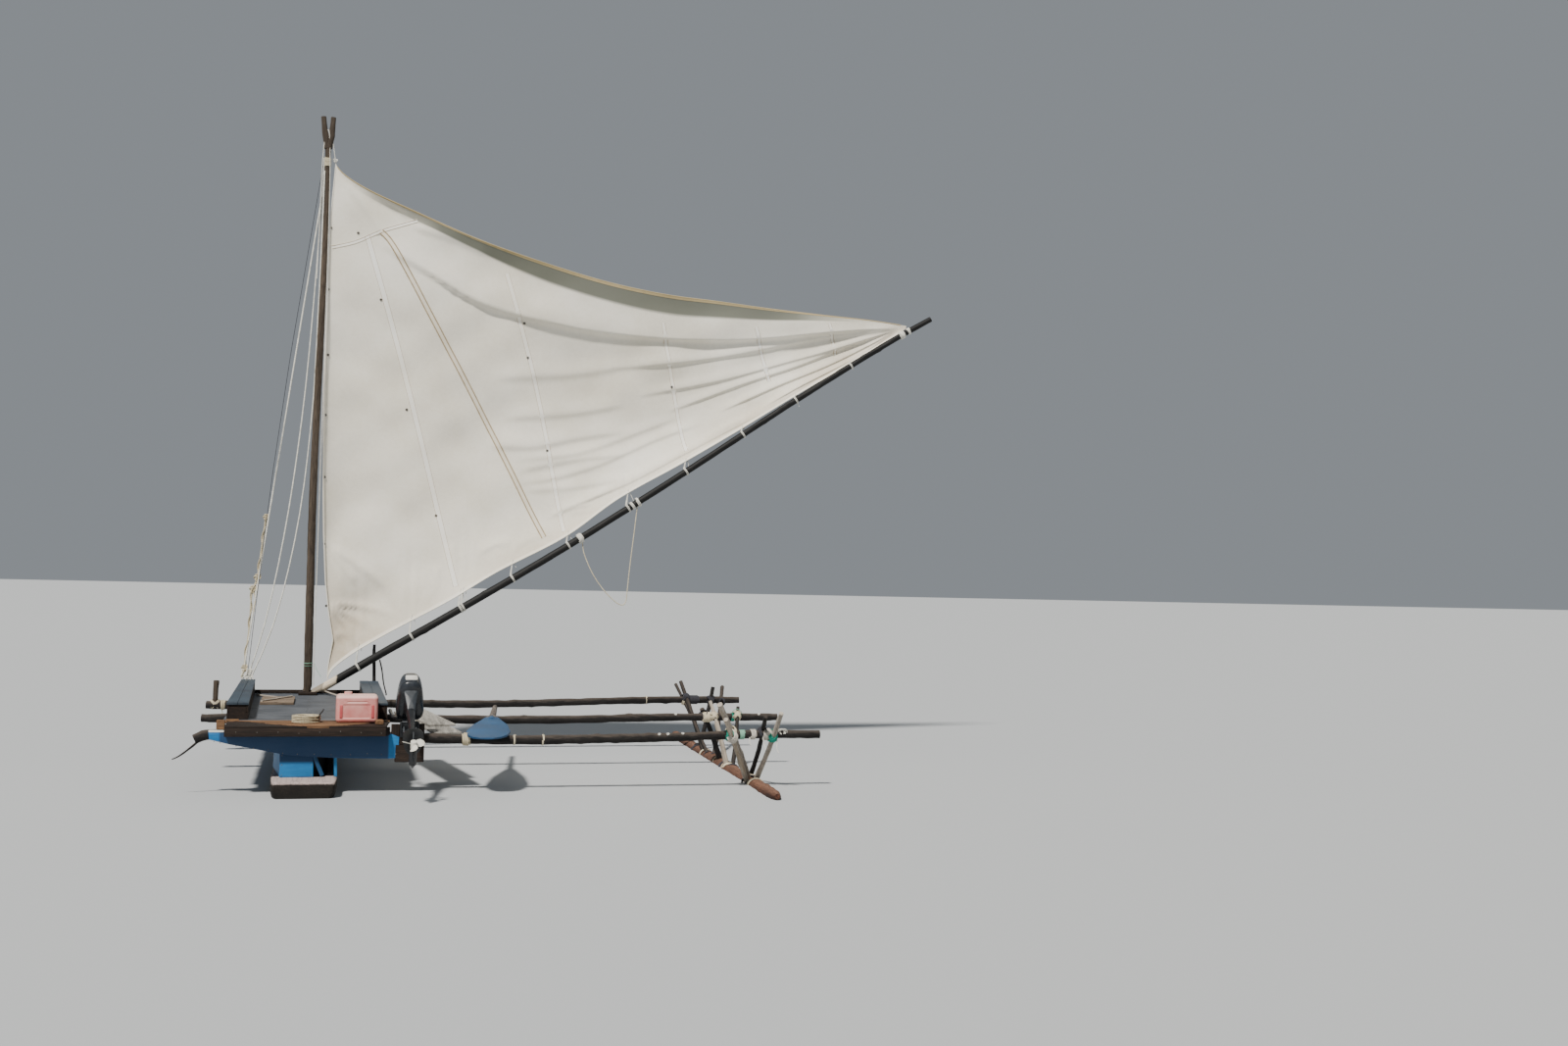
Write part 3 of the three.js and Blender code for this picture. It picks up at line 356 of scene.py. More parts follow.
CAST_DARK = metal("oily_cast_bracket", "#26282B", "#3C3F43", 0.6, rough=(0.35, 0.6))
ZINC = metal("galvanised_nail", "#7C7C78", "#5A4A3C", 0.9, rough=(0.45, 0.7), cast=0.001)
PROP_WHITE = metal("white_enamelled_blade", "#E6E4DA", "#C8C2B0", 0.0, rough=(0.25, 0.45))


# Shapes: a part is (points, faces, grain), and grain is where the point lies in straight-grained stuff
def made(name, parts, material, body="root", replaces=(), sharp=42, extra=None):
    """Joins parts into one object that rides on a body."""
    points = np.concatenate([p[0] for p in parts])
    grain = np.concatenate([p[2] for p in parts])
    faces = []
    start = 0
    for part in parts:
        faces += [tuple(i + start for i in face) for face in part[1]]
        start += len(part[0])
    mesh = bpy.data.meshes.new(name)
    mesh.from_pydata(points.tolist(), [], faces)
    mesh.polygons.foreach_set("use_smooth", np.ones(len(mesh.polygons), bool))
    mesh.set_sharp_from_angle(angle=math.radians(sharp))
    carried = mesh.attributes.new("grain", "FLOAT_VECTOR", "POINT")
    carried.data.foreach_set("vector", grain.astype(np.float32).ravel())
    for key, values in (extra or {}).items():
        field = mesh.attributes.new(key, "FLOAT", "POINT")
        field.data.foreach_set("value", np.asarray(values, np.float32).ravel())
    mesh.materials.append(material)
    thing = bpy.data.objects.new(name, mesh)
    bpy.context.scene.collection.objects.link(thing)
    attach(thing, body)
    if replaces:
        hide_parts(*([replaces] if isinstance(replaces, str) else replaces))
    return thing


def unit(v):
    v = np.asarray(v, float)
    return v / np.linalg.norm(v, axis=-1, keepdims=True)


def carried_frames(path):
    """Tangents along a path, with side and across directions that don't spin about it."""
    tangent = unit(np.gradient(path, axis=0))
    side = np.empty_like(path)
    start = (0, 0, 1) if abs(tangent[0][2]) < 0.9 else (0, 1, 0)
    side[0] = unit(np.cross(tangent[0], start))
    for k in range(1, len(path)):
        side[k] = unit(side[k - 1] - tangent[k] * np.dot(side[k - 1], tangent[k]))
    return tangent, side, np.cross(side, tangent)


def sweep(path, radius, sides=12, profile=None, twist=0.0, lift=0.0, flat=1.0):
    """A closed tube along a path. profile(along, around) scales its radius, flat narrows it across."""
    path = np.asarray(path, float)
    rings = len(path)
    radius = np.broadcast_to(np.asarray(radius, float), rings)
    _, side, across = carried_frames(path)
    along = np.concatenate([[0], np.cumsum(np.linalg.norm(np.diff(path, axis=0), axis=1))])[:, None]
    around = (np.arange(sides) / sides * TURN)[None, :]
    spread = radius[:, None] * (profile(along, around) if profile else np.ones((rings, sides)))
    angle = around + twist * along
    points = (path[:, None] + (spread * np.cos(angle))[..., None] * side[:, None]
              + (flat * spread * np.sin(angle))[..., None] * across[:, None])
    grain = np.stack([spread * np.cos(around), spread * np.sin(around), along + lift + 0 * spread], axis=-1)
    points = np.concatenate([points.reshape(-1, 3), path[:1], path[-1:]])
    grain = np.concatenate([grain.reshape(-1, 3), [[0, 0, lift]], [[0, 0, lift + along[-1, 0]]]])
    first, last = rings * sides, rings * sides + 1
    faces = []
    for k in range(rings - 1):
        a = k * sides
        for i in range(sides):
            j = (i + 1) % sides
            faces.append((a + i, a + j, a + sides + j, a + sides + i))
    end = (rings - 1) * sides
    for i in range(sides):
        j = (i + 1) % sides
        faces.append((first, j, i))
        faces.append((last, end + i, end + j))
    return points, faces, grain


def curve_at(points, t):
    """Points on the smooth curve through a table's points, t from 0 to 1 over equal spans."""
    p = np.asarray(points, float)
    p = np.vstack([2 * p[0] - p[1], p, 2 * p[-1] - p[-2]])
    spans = len(p) - 3
    at = np.clip(np.asarray(t, float) * spans, 0, spans - 1e-9)
    k = at.astype(int)
    w = (at - k)[:, None]
    a, b, c, d = p[k], p[k + 1], p[k + 2], p[k + 3]
    ab, bc, cd = (np.sqrt(np.linalg.norm(y - x, axis=1))[:, None] for x, y in ((a, b), (b, c), (c, d)))
    leave = ((b - a) / ab - (c - a) / (ab + bc) + (c - b) / bc) * bc
    reach = ((c - b) / bc - (d - b) / (bc + cd) + (d - c) / cd) * bc
    return b + leave * w + (-3 * b + 3 * c - 2 * leave - reach) * w**2 + (2 * b - 2 * c + leave + reach) * w**3


def even_path(points, step):
    """The smooth curve through points, walked in equal steps."""
    fine = curve_at(points, np.linspace(0, 1, 60 * (len(points) - 1) + 1))
    gone = np.concatenate([[0], np.cumsum(np.linalg.norm(np.diff(fine, axis=0), axis=1))])
    walk = np.linspace(0, gone[-1], max(3, int(round(gone[-1] / step)) + 1))
    return np.stack([np.interp(walk, gone, fine[:, i]) for i in range(3)], axis=1)


def length_of(path):
    return float(np.linalg.norm(np.diff(path, axis=0), axis=1).sum())


LAY = 7.0  # a laid rope's strands go round once in this many radii
STRANDS = 3


def laid_rope(path, radius, lift=0.0):
    """Three strands twisted together, as a tube whose lobes wind along it."""
    hollow = lambda along, around: 1 - 0.1 * (1 - np.cos(STRANDS * around)) + 0 * along
    return sweep(path, radius, 3 * STRANDS, hollow, twist=TURN / (LAY * radius), lift=lift)


def twine(path, radius, lift=0.0):
    return sweep(path, radius, 6, lift=lift)


def uneven(along, around, seed, span=0.3, terms=9):
    """A surface that wanders smoothly by about one, round a pole and along it."""
    draw = np.random.default_rng(seed)
    total = 0
    for _ in range(terms):
        turns = draw.integers(0, 5)
        total = total + np.sin(TURN * along / (span * draw.uniform(0.4, 2)) + turns * around + draw.uniform(0, TURN))
    return total / math.sqrt(terms)


def wander(x, span, seed, terms=3):
    draw = np.random.default_rng(abs(int(seed)))
    return sum(np.sin(TURN * x / (span / 1.9**k) + draw.uniform(0, TURN)) / 1.6**k for k in range(terms)) / 1.8


# Cords: the loose sheet rope under the boom and the coil on the stern plank
ROPE_R = 0.006
BRIDLE = np.array([
    (2832, -600, 2330), (2850, -606, 2180), (2895, -612, 2060), (2960, -616, 1930), (3050, -618, 1800),
    (3150, -618, 1690), (3245, -616, 1615), (3300, -612, 1600), (3332, -610, 1640), (3346, -608, 1760),
    (3362, -606, 1950), (3384, -604, 2180), (3410, -602, 2420), (3440, -600, 2740),
]) * MM
COIL = {"x": 0.004, "y": -3.830, "z": 0.6003, "mean": 0.100, "columns": 4, "layers": 5, "pitch": 0.0124}


def make_bridle():
    path = even_path(BRIDLE, 0.004)
    rope = made("bridle_rope_laid", [laid_rope(path, ROPE_R)], CREAM_LINE, "boom_rig", "bridle_rope")


def make_coil():
    """Flat spirals out and in, one on the other."""
    c = COIL
    inner = c["mean"] - c["pitch"] * c["columns"] / 2 + ROPE_R
    per_turn = 60
    points = []
    for layer in range(c["layers"]):
        for k in range(c["columns"] * per_turn):
            turn = k / per_turn
            out = turn if layer % 2 == 0 else c["columns"] - turn
            reach = inner + c["pitch"] * min(max(out - 0.5, 0), c["columns"] - 1)
            climb = min(1, turn / 0.35) if layer else 1
            height = ROPE_R + c["pitch"] * (layer - 1 + climb if layer else 0)
            angle = TURN * (turn + c["columns"] * layer)
            points.append((c["x"] + reach * math.cos(angle), c["y"] + reach * math.sin(angle), c["z"] + height))
    path = np.array(points)
    coil = made("rope_coil_turns", [laid_rope(path, ROPE_R * 0.98)], HEMP, "root", "rope_coil")


make_bridle()
make_coil()


# Poles: round timber that follows a CAD piece's own centreline
def centreline(node, axis, step, backward=True, blunt=True):
    """Centres and radii of sections across a CAD pole, at even steps along an axis."""
    mesh = NODES[node].data
    corners = np.empty(len(mesh.vertices) * 3, np.float32)
    mesh.vertices.foreach_get("co", corners)
    corners = corners.reshape(-1, 3).astype(float)
    edges = np.empty(len(mesh.edges) * 2, np.int32)
    mesh.edges.foreach_get("vertices", edges)
    a, b = corners[edges[::2]], corners[edges[1::2]]
    low, high = corners[:, axis].min(), corners[:, axis].max()
    marks = np.linspace(low + 1e-4, high - 1e-4, max(4, int((high - low) / step) + 1))
    if backward:
        marks = marks[::-1]
    centres, radii = [], []
    for mark in marks:
        da, db = a[:, axis] - mark, b[:, axis] - mark
        cut = da * db < 0
        p = a[cut] + (b[cut] - a[cut]) * (da[cut] / (da[cut] - db[cut]))[:, None]
        if axis == 0:
            p = p[(p[:, 0] > -0.75) | (p[:, 2] > 0.43)]
        if centres:
            p = p[np.linalg.norm(p - centres[-1], axis=1) < max(0.07, 2.4 * radii[-1])]
        if len(p) < 4:
            continue
        lo, hi = p.min(0), p.max(0)
        centres.append((lo + hi) / 2)
        radii.append(np.delete((hi - lo) / 2, axis).min())
    centres, radii = np.array(centres), np.array(radii)
    for _ in range(3):
        centres[1:-1] = (centres[:-2] + 2 * centres[1:-1] + centres[2:]) / 4
        radii[1:-1] = (radii[:-2] + 2 * radii[1:-1] + radii[2:]) / 4
    if blunt:
        inset = min(len(radii) // 4, max(1, int(0.05 / step)))
        radii[:inset], radii[-inset:] = radii[inset], radii[-inset - 1]
        first, last = centres[inset], centres[-inset - 1]
        before, after = first - centres[inset + 1], last - centres[-inset - 2]
        centres[:inset] = first + before * np.arange(inset, 0, -1)[:, None]
        centres[-inset:] = last + after * np.arange(1, inset + 1)[:, None]
    return (centres[::-1], radii[::-1]) if backward else (centres, radii)


def knotty(seed, length, rough, knots, height=0.22):
    """A pole's surface: uneven bark and a few knots where twigs were cut."""
    draw = np.random.default_rng(seed)
    places = [(draw.uniform(0.05, 0.95) * length, draw.uniform(0, TURN)) for _ in range(knots)]

    def profile(along, around):
        swell = 1 + rough * uneven(along, around, seed)
        for where, bearing in places:
            near = np.exp(-(((along - where) / 0.03) ** 2))
            swell = swell + height * near * np.exp((np.cos(around - bearing) - 1) * 5)
        return swell

    return profile


paths = {}
POLES = [
    # node, axis, step, sides, roughness, knots, bark's thickness in mm, material, slot
    ("beam_stern", 0, 0.022, 20, 0.045, 16, 6, BARK, "dark_pole"),
    ("beam_middle", 0, 0.022, 20, 0.045, 14, 6, BARK, "dark_pole"),
    ("beam_fore", 0, 0.022, 20, 0.045, 12, 6, BARK, "dark_pole"),
    ("boom_post", 2, 0.02, 16, 0.03, 2, 1, BARK, "dark_pole"),
    ("peg_port", 2, 0.01, 16, 0.03, 1, 3, MAST_WOOD, "peeled_stick"),
    ("float_log", 1, 0.03, 28, 0.04, 9, 0, FLOAT_WOOD, "float_wood"),
]
PEELED_STRUTS = (1, 2, 3, 5)
for number in range(1, 12):
    skin_of = (PEELED, "peeled_stick") if number in PEELED_STRUTS else (BARK, "dark_pole")
    POLES.append((f"strut_{number}", 2, 0.012, 14, 0.05, 3, 5, *skin_of))
TWIG = np.array([(-815, -3950, 496), (-880, -3952, 440), (-985, -3956, 352), (-1035, -3958, 318),
                 (-1075, -3960, 300)]) * MM


def make_poles():
    for seed, (node, axis, step, sides, rough, knots, bark, material, slot) in enumerate(POLES):
        path, radius = centreline(node, axis, step, blunt=node != "float_log")
        radius = radius + bark * MM
        paths[node] = path, radius
        parts = [sweep(path, radius, sides, knotty(seed, length_of(path), rough, knots), lift=seed * 3.1)]
        if node == "beam_stern":
            twig = even_path(TWIG, 0.015)
            parts.append(sweep(twig, np.linspace(0.013, 0.005, len(twig)), 10, knotty(90, 0.35, 0.08, 4)))
        made(node + "_bark", parts, material, "root", node)


make_poles()

# Sail: the CAD sail's outline and belly, drawn fine and creased where the cloth is pulled
BOOM_AXIS = np.array([(20, 612), (92, 652), (630, 984), (1560, 1546), (2710, 2262), (3980, 3106),
                      (5250, 3979), (6439, 4757), (6850, 5000)], float)  # x, z in mm
SAIL_Y = -600
LUFF = np.array([(880, 170), (1180, 214), (1460, 162), (1800, 118), (2290, 86), (2920, 60), (3540, 48),
                 (4160, 44), (5000, 50), (5700, 56), (6240, 92)], float)  # z, x in mm
SAIL = np.array([
    # foot x, hem above the boom's axis, crease x, crease z, leech z, how far the leech comes aft, in mm
    (172, 62, 92, 6240, 6262, 0),
    (450, 125, 480, 5965, 6030, 60),
    (1000, 136, 1000, 5705, 5796, 120),
    (1450, 142, 1580, 5440, 5556, 165),
    (1900, 166, 2330, 5138, 5330, 190),
    (2650, 118, 3050, 4946, 5160, 200),
    (3220, 175, 3720, 4846, 5067, 190),
    (3900, 128, 4280, 4838, 5033, 160),
    (4500, 88, 4900, 4854, 4991, 120),
    (5236, 58, 5545, 4884, 4961, 70),
    (5884, 38, 6130, 4902, 4938, 25),
    (6470, 26, 6550, 4880, 4905, 2),
], float)
BELLY = 210
SAIL_COLUMNS = 230
SAIL_ROWS = 140
FLAP_ROWS = 12
CLOTH = 0.0012  # half the cloth's drawn thickness
LEAN = 0.4  # how much of the CAD sail's overhang the turned edge keeps


def boom_z(x):
    return np.interp(x, BOOM_AXIS[:, 0], BOOM_AXIS[:, 1])


def sail_curve(cells, u):
    return curve_at(np.stack(cells, axis=1), u)


def sail_plain(u, v):
    """The sail before it is creased, in mm: v is 0 at the foot, 1 at the crease and 2 at the leech."""
    level = np.full(len(SAIL), float(SAIL_Y))
    foot = sail_curve([SAIL[:, 0], level, boom_z(SAIL[:, 0]) + SAIL[:, 1]], u)
    crease = sail_curve([SAIL[:, 2], level, SAIL[:, 3]], u)
    leech = sail_curve([SAIL[:, 2], level - LEAN * SAIL[:, 5], SAIL[:, 4]], u)
    inner = np.clip(v, 0, 1)[:, None]
    p = foot + (crease - foot) * inner
    bound = (1 - u) ** 12
    p[:, 0] += (np.interp(p[:, 2], LUFF[:, 0], LUFF[:, 1]) - p[:, 0]) * bound
    p[:, 1] += BELLY * np.sin(math.pi * inner[:, 0] ** 0.8) * np.sin(math.pi * u**0.7)
    over = np.clip(v - 1, 0, 1)[:, None]
    return p + (leech - crease) * over


# Creases, in mm on the sail: each line is the steep underside of a fold that stands out above it
CREASES = [
    # height, width above, width below, then x, z along the line
    (52, 300, 26, [(560, 5440), (1143, 5129), (1581, 4894), (2063, 4753), (2680, 4654), (3262, 4607),
                   (3952, 4600), (4667, 4645), (5369, 4741), (6082, 4842), (6500, 4885)]),
    (16, 90, 26, [(876, 5640), (1346, 5520), (1741, 5366)]),
    (12, 60, 24, [(130, 6100), (369, 5838), (690, 5391), (830, 5213)]),
    (12, 70, 24, [(220, 6120), (548, 5940), (916, 5690)]),
    (16, 110, 45, [(1824, 4069), (2705, 4158), (3281, 4274)]),
    (17, 120, 40, [(1950, 3640), (2723, 3726), (3302, 3852)]),
    (20, 120, 40, [(1785, 3336), (2290, 3335), (2732, 3444), (3311, 3555)]),
    (16, 90, 34, [(2124, 3058), (2737, 3204), (3314, 3289)]),
    (14, 80, 30, [(2214, 2845), (2633, 2879), (3308, 3010)]),
    (26, 70, 13, [(2558, 2614), (2900, 2755), (3167, 2875), (3381, 2978), (3962, 3308), (4481, 3603),
                  (4963, 3877), (5500, 4240)]),
    (14, 50, 16, [(2500, 2560), (2700, 2650), (2930, 2700)]),
    (12, 44, 14, [(2700, 2600), (2960, 2640), (3140, 2760)]),
    (15, 70, 26, [(2117, 2916), (2556, 2998), (3042, 3168), (3709, 3493), (4161, 3666)]),
    (13, 80, 30, [(2067, 3177), (2812, 3292), (3477, 3553), (3929, 3747)]),
    (24, 90, 26, [(3085, 4237), (3758, 4322), (4554, 4475), (5375, 4676), (6085, 4806), (6500, 4882)]),
    (22, 80, 22, [(3432, 3946), (4367, 4168), (5147, 4419), (5732, 4607), (6205, 4780), (6500, 4880)]),
    (22, 66, 18, [(3783, 3786), (4697, 4164), (5276, 4381), (5859, 4639), (6401, 4848)]),
    (22, 54, 15, [(4373, 3810), (5038, 4137), (5619, 4399), (6092, 4651), (6426, 4848)]),
    (18, 40, 12, [(4900, 3900), (5270, 4129), (5972, 4515), (6427, 4837)]),
    (20, 60, 22, [(96, 2199), (405, 1989), (717, 1755), (992, 1352)]),
    (15, 50, 20, [(150, 2130), (290, 1960), (411, 1769)]),
    (26, 40, 14, [(136, 1536), (357, 1539), (827, 1442), (962, 1331)]),
    (24, 38, 14, [(136, 1530), (371, 1425), (607, 1314)]),
    (28, 40, 14, [(140, 1526), (312, 1341), (450, 1115)]),
    (26, 38, 14, [(150, 1474), (213, 1309), (257, 1185)]),
    (26, 38, 16, [(227, 1175), (315, 1240), (450, 1115)]),
    (12, 60, 22, [(1729, 2131), (1907, 2230), (2075, 2236)]),
    (9, 60, 26, [(1100, 1560), (1250, 1700), (1300, 2000)]),
    (9, 60, 26, [(1534, 1790), (1500, 2000), (1420, 2240)]),
    (9, 50, 22, [(2080, 2140), (2200, 2260), (2420, 2330)]),
]
TIES = (480, 1025, 1534, 2082, 2680, 3334, 3978, 4624, 5236, 5884)  # x of the foot ties, in mm


def to_line(x, z, line):
    """Signed distance above a line, and how far along it, from 0 to 1, the nearest point lies."""
    ends = even_path([(a, 0, b) for a, b in line], 40)[:, [0, 2]]
    best = np.full(x.shape, 1e9)
    signed = np.zeros(x.shape)
    share = np.zeros(x.shape)
    count = len(ends) - 1
    for k in range(count):
        (ax, az), (bx, bz) = ends[k], ends[k + 1]
        dx, dz = bx - ax, bz - az
        t = np.clip(((x - ax) * dx + (z - az) * dz) / (dx * dx + dz * dz), 0, 1)
        gap = np.hypot(x - ax - t * dx, z - az - t * dz)
        near = gap < best
        best = np.where(near, gap, best)
        side = np.sign(dx * (z - az) - dz * (x - ax))
        signed = np.where(near, side * gap, signed)
        share = np.where(near, (k + t) / count, share)
    return signed, share


def creasing(x, z, u, v):
    """How far the cloth stands out towards the stern, in mm."""
    out = np.zeros(x.shape)
    for height, above, below, line in CREASES:
        signed, share = to_line(x, z, line)
        body = np.where(signed > 0, np.exp(-((signed / above) ** 2)), np.exp(-((signed / below) ** 2)))
        out += height * body * np.clip(np.minimum(share, 1 - share) * 7, 0, 1) ** 0.8
    draw = np.random.default_rng(5)
    for _ in range(16):
        bearing, span = draw.uniform(0, math.pi), draw.uniform(420, 1500)
        across = x * math.cos(bearing) + z * math.sin(bearing)
        out += 0.004 * span * np.sin(across / span * TURN + draw.uniform(0, TURN))
    for tie in TIES:
        low = np.exp(-(((x - tie) / 110) ** 2)) * np.exp(-v * 14)
        out += 16 * low * np.sin((x - tie) / 19)
    held = np.clip(v * 9, 0, 1) * np.clip(u * 14, 0.25, 1) * np.clip((1 - u) * 20, 0, 1)
    return out * held * np.clip((2.05 - v) * 1.0, 0, 1)


def sail_surface(u, v):
    """The creased sail, in metres."""
    u, v = np.broadcast_arrays(np.asarray(u, float), np.asarray(v, float))
    shape = u.shape
    p = sail_plain(u.ravel(), v.ravel())
    out = creasing(p[:, 0], p[:, 2], u.ravel(), v.ravel())
    p[:, 1] -= out
    return (p * MM).reshape(*shape, 3)


def normals_of(grid):
    across = np.gradient(grid, axis=1)
    up = np.gradient(grid, axis=0)
    return unit(np.cross(across, up))


def two_sided(grid, half):
    """A sheet of cloth from a grid of points, closed round its edges."""
    rows, columns = grid.shape[:2]
    normal = normals_of(grid)
    points = np.concatenate([(grid + normal * half).reshape(-1, 3), (grid - normal * half).reshape(-1, 3)])
    back = rows * columns
    faces = []
    for j in range(rows - 1):
        for i in range(columns - 1):
            a = j * columns + i
            faces.append((a, a + 1, a + columns + 1, a + columns))
            faces.append((back + a, back + a + columns, back + a + columns + 1, back + a + 1))
    rim = ([(0, i) for i in range(columns)] + [(j, columns - 1) for j in range(1, rows)]
           + [(rows - 1, i) for i in range(columns - 2, -1, -1)] + [(j, 0) for j in range(rows - 2, 0, -1)])
    order = [j * columns + i for j, i in rim]
    for a, b in zip(order, order[1:] + order[:1]):
        faces.append((a, back + a, back + b, b))
    return points, faces, points.copy()


def make_sail():
    u = np.linspace(0, 1, SAIL_COLUMNS + 1)[None, :]
    v = np.concatenate([np.linspace(0, 1, SAIL_ROWS + 1), 1 + np.linspace(0, 1, FLAP_ROWS + 1)[1:]])[:, None]
    grid = sail_surface(u, v)
    part = two_sided(grid, CLOTH)
    flat_x, flat_z = grid[..., 0], grid[..., 2]
    over_boom = flat_z - boom_z(flat_x * 1000) * MM
    soiled = np.clip(1.0 - over_boom / 0.5, 0, 1) ** 2 * 0.7
    soiled += 0.8 * np.exp(-((flat_x - 0.2) / 0.5) ** 2 - ((flat_z - 1.2) / 0.5) ** 2)
    # painted shade: this mask darkens the turned leech edge in the material
    turned = np.clip((v - 1.02) * 9, 0, 1) * np.clip((u - 0.1) * 8, 0, 1) * np.clip((0.97 - u) * 5, 0, 1)
    extra = {"soiled": np.tile(soiled.ravel(), 2), "turned": np.tile(turned.ravel(), 2) * 0.9}
    sail = made("sail_cloth", [part], CANVAS, "boom_rig", "sail", sharp=80, extra=extra)
    area = 0.0
    for j in range(grid.shape[0] - 1):
        a, b = grid[j, :-1], grid[j, 1:]
        c, d = grid[j + 1, :-1], grid[j + 1, 1:]
        area += np.linalg.norm(np.cross(b - a, c - a), axis=1).sum() / 2
        area += np.linalg.norm(np.cross(b - d, c - d), axis=1).sum() / 2
    return sail, grid, area


sail, sail_grid, sail_area = make_sail()


def strip_on_sail(line, width, half, step=0.03, cells=3):
    """A band of doubled cloth laid on both faces of the sail along a line of x, z in mm."""
    path = even_path([(x, 0, z) for x, z in line], step * 1000)
    tangent, _, _ = carried_frames(path)
    normal = np.stack([-tangent[:, 2], 0 * tangent[:, 0], tangent[:, 0]], axis=1)
    rows = []
    for k in range(cells + 1):
        shift = (k / cells - 0.5) * width
        rows.append(path + normal * shift)
    grid = np.array(rows)
    y = surface_y(grid[..., 0], grid[..., 2])
    grid = np.stack([grid[..., 0] * MM, y, grid[..., 2] * MM], axis=-1)
    return two_sided(grid, half)


def surface_y(x, z):
    """The sail's y in metres at x, z in mm, read between the nearest points of its grid."""
    flat = sail_grid.reshape(-1, 3)
    flat_x, flat_z = flat[:, 0] * 1000, flat[:, 2] * 1000
    out = np.empty(x.shape)
    for index in np.ndindex(x.shape):
        d = (flat_x - x[index]) ** 2 + (flat_z - z[index]) ** 2
        k = np.argpartition(d, 4)[:4]
        w = 1 / (d[k] + 4.0)
        out[index] = (flat[k, 1] * w).sum() / w.sum()
    return out


SEAMS = [
    # width and pairs of x, z in mm along the middle
    (58, [(582, 5561), (666, 5480), (1182, 4616), (1812, 3499), (2417, 2328)]),
    (64, [(440, 5500), (784, 4379), (1101, 3230), (1479, 1770)]),
    (56, [(1930, 5200), (2313, 3933), (2631, 2400)]),
    (50, [(3673, 4760), (3857, 3955), (3986, 3343)]),
    (50, [(4747, 4780), (4855, 4448), (4945, 4186)]),
    (44, [(5600, 4870), (5654, 4714), (5712, 4520)]),
    (40, [(75, 5349), (311, 5425), (582, 5561), (960, 5700)]),
]
EYELETS = [(344, 5527), (602, 4833), (910, 3668), (1256, 2531), (2142, 4672), (2195, 4302), (2443, 3288),
           (3818, 4063), (62, 5556), (56, 4896), (72, 4200), (66, 3560), (76, 2900), (96, 2190), (136, 1536)]


def make_sail_trim():
    seams = [strip_on_sail(line, width, CLOTH + 0.0012) for width, line in SEAMS]
    sewn = []
    # painted shade: the first seam takes the darker cloth, standing in for the shadow along it
    for name, sewing, cloth in (("sail_seam_painted_shade", seams[:1], SHADED_SEAM), ("sail_seams", seams[1:], SEAM_CANVAS)):
        sewn.append(made(name, sewing, cloth, "boom_rig", sharp=80,
                         extra={"soiled": np.zeros(sum(len(s[0]) for s in sewing))}))
    stitches = []
    for number, (width, line) in enumerate(SEAMS):
        # painted shade: on the first seam the thick tan stitch cords are dark lines that stand for its shadow
        cord = 0.0022 if number else 0.0065  # the first seam is gathered on a cord
        for hand in (-1, 1):
            path = even_path([(x, 0, z) for x, z in line], 60)
            tangent, _, _ = carried_frames(path)
            across = np.stack([-tangent[:, 2], 0 * path[:, 0], tangent[:, 0]], axis=1)
            path = path + across * hand * (width / 2 - 5)
            y = surface_y(path[:, 0], path[:, 2])
            for face in (-1, 1):
                line_at = np.stack([path[:, 0] * MM, y + face * (CLOTH + 0.0016), path[:, 2] * MM], axis=1)
                stitches.append(sweep(line_at, cord, 5))
    sewn.append(made("sail_stitching", stitches, STITCHING, "boom_rig"))
    hems = []
    for edge in ("foot", "luff"):
        run = np.linspace(0.0, 1.0, 260)
        depth = np.linspace(0, 1, 4)[:, None]
        if edge == "foot":
            share = 0.034 / np.maximum(0.05, 5.4 * (1 - run))
            band = sail_surface(np.broadcast_to(run[None, :], (4, 260)), depth * np.minimum(share, 0.5)[None, :])
        else:
            band = sail_surface(np.broadcast_to(depth * 0.0055, (4, 260)), np.broadcast_to(run[None, :], (4, 260)))
            band = band[::-1]
        hems.append(two_sided(band, CLOTH + 0.0018))
        rope_line = sail_surface(run, 0 * run) if edge == "foot" else sail_surface(0 * run, run)
        hems.append(sweep(rope_line, 0.0055, 8))
    sewn.append(made("sail_hems", hems, HEM_CANVAS, "boom_rig", sharp=80,
                     extra={"soiled": np.full(sum(len(h[0]) for h in hems), 0.15)}))
    run = np.linspace(0.02, 0.985, 240)
    rows = np.array([[1.86], [1.9], [1.95], [2.0]])
    tape = sail_surface(np.broadcast_to(run[None, :], (4, 240)), np.broadcast_to(rows, (4, 240)))
    tapes = [two_sided(tape, CLOTH + 0.0018), sweep(sail_surface(run, 2.0 + 0 * run), 0.005, 8)]
    sewn.append(made("sail_leech_tape", tapes, EDGE_TAPE, "boom_rig", sharp=80,
                     extra={"soiled": np.zeros(sum(len(t[0]) for t in tapes))}))
    rings = []
    for x, z in EYELETS:
        y = float(surface_y(np.array([x]), np.array([z]))[0])
        turn = np.linspace(0, TURN, 17)
        for face in (-1, 1):
            ring = np.stack([x * MM + 0.010 * np.cos(turn), y + face * 0.003 + 0 * turn,
                             z * MM + 0.010 * np.sin(turn)], axis=1)
            rings.append(sweep(ring, 0.0045, 6))
        through = np.array([(x * MM, y + reach, z * MM) for reach in (-0.004, 0, 0.004)])
        rings.append(sweep(through, 0.008, 10))
    sewn.append(made("sail_eyelets", rings, ZINC, "boom_rig"))
    return sewn


sail_trim = make_sail_trim()


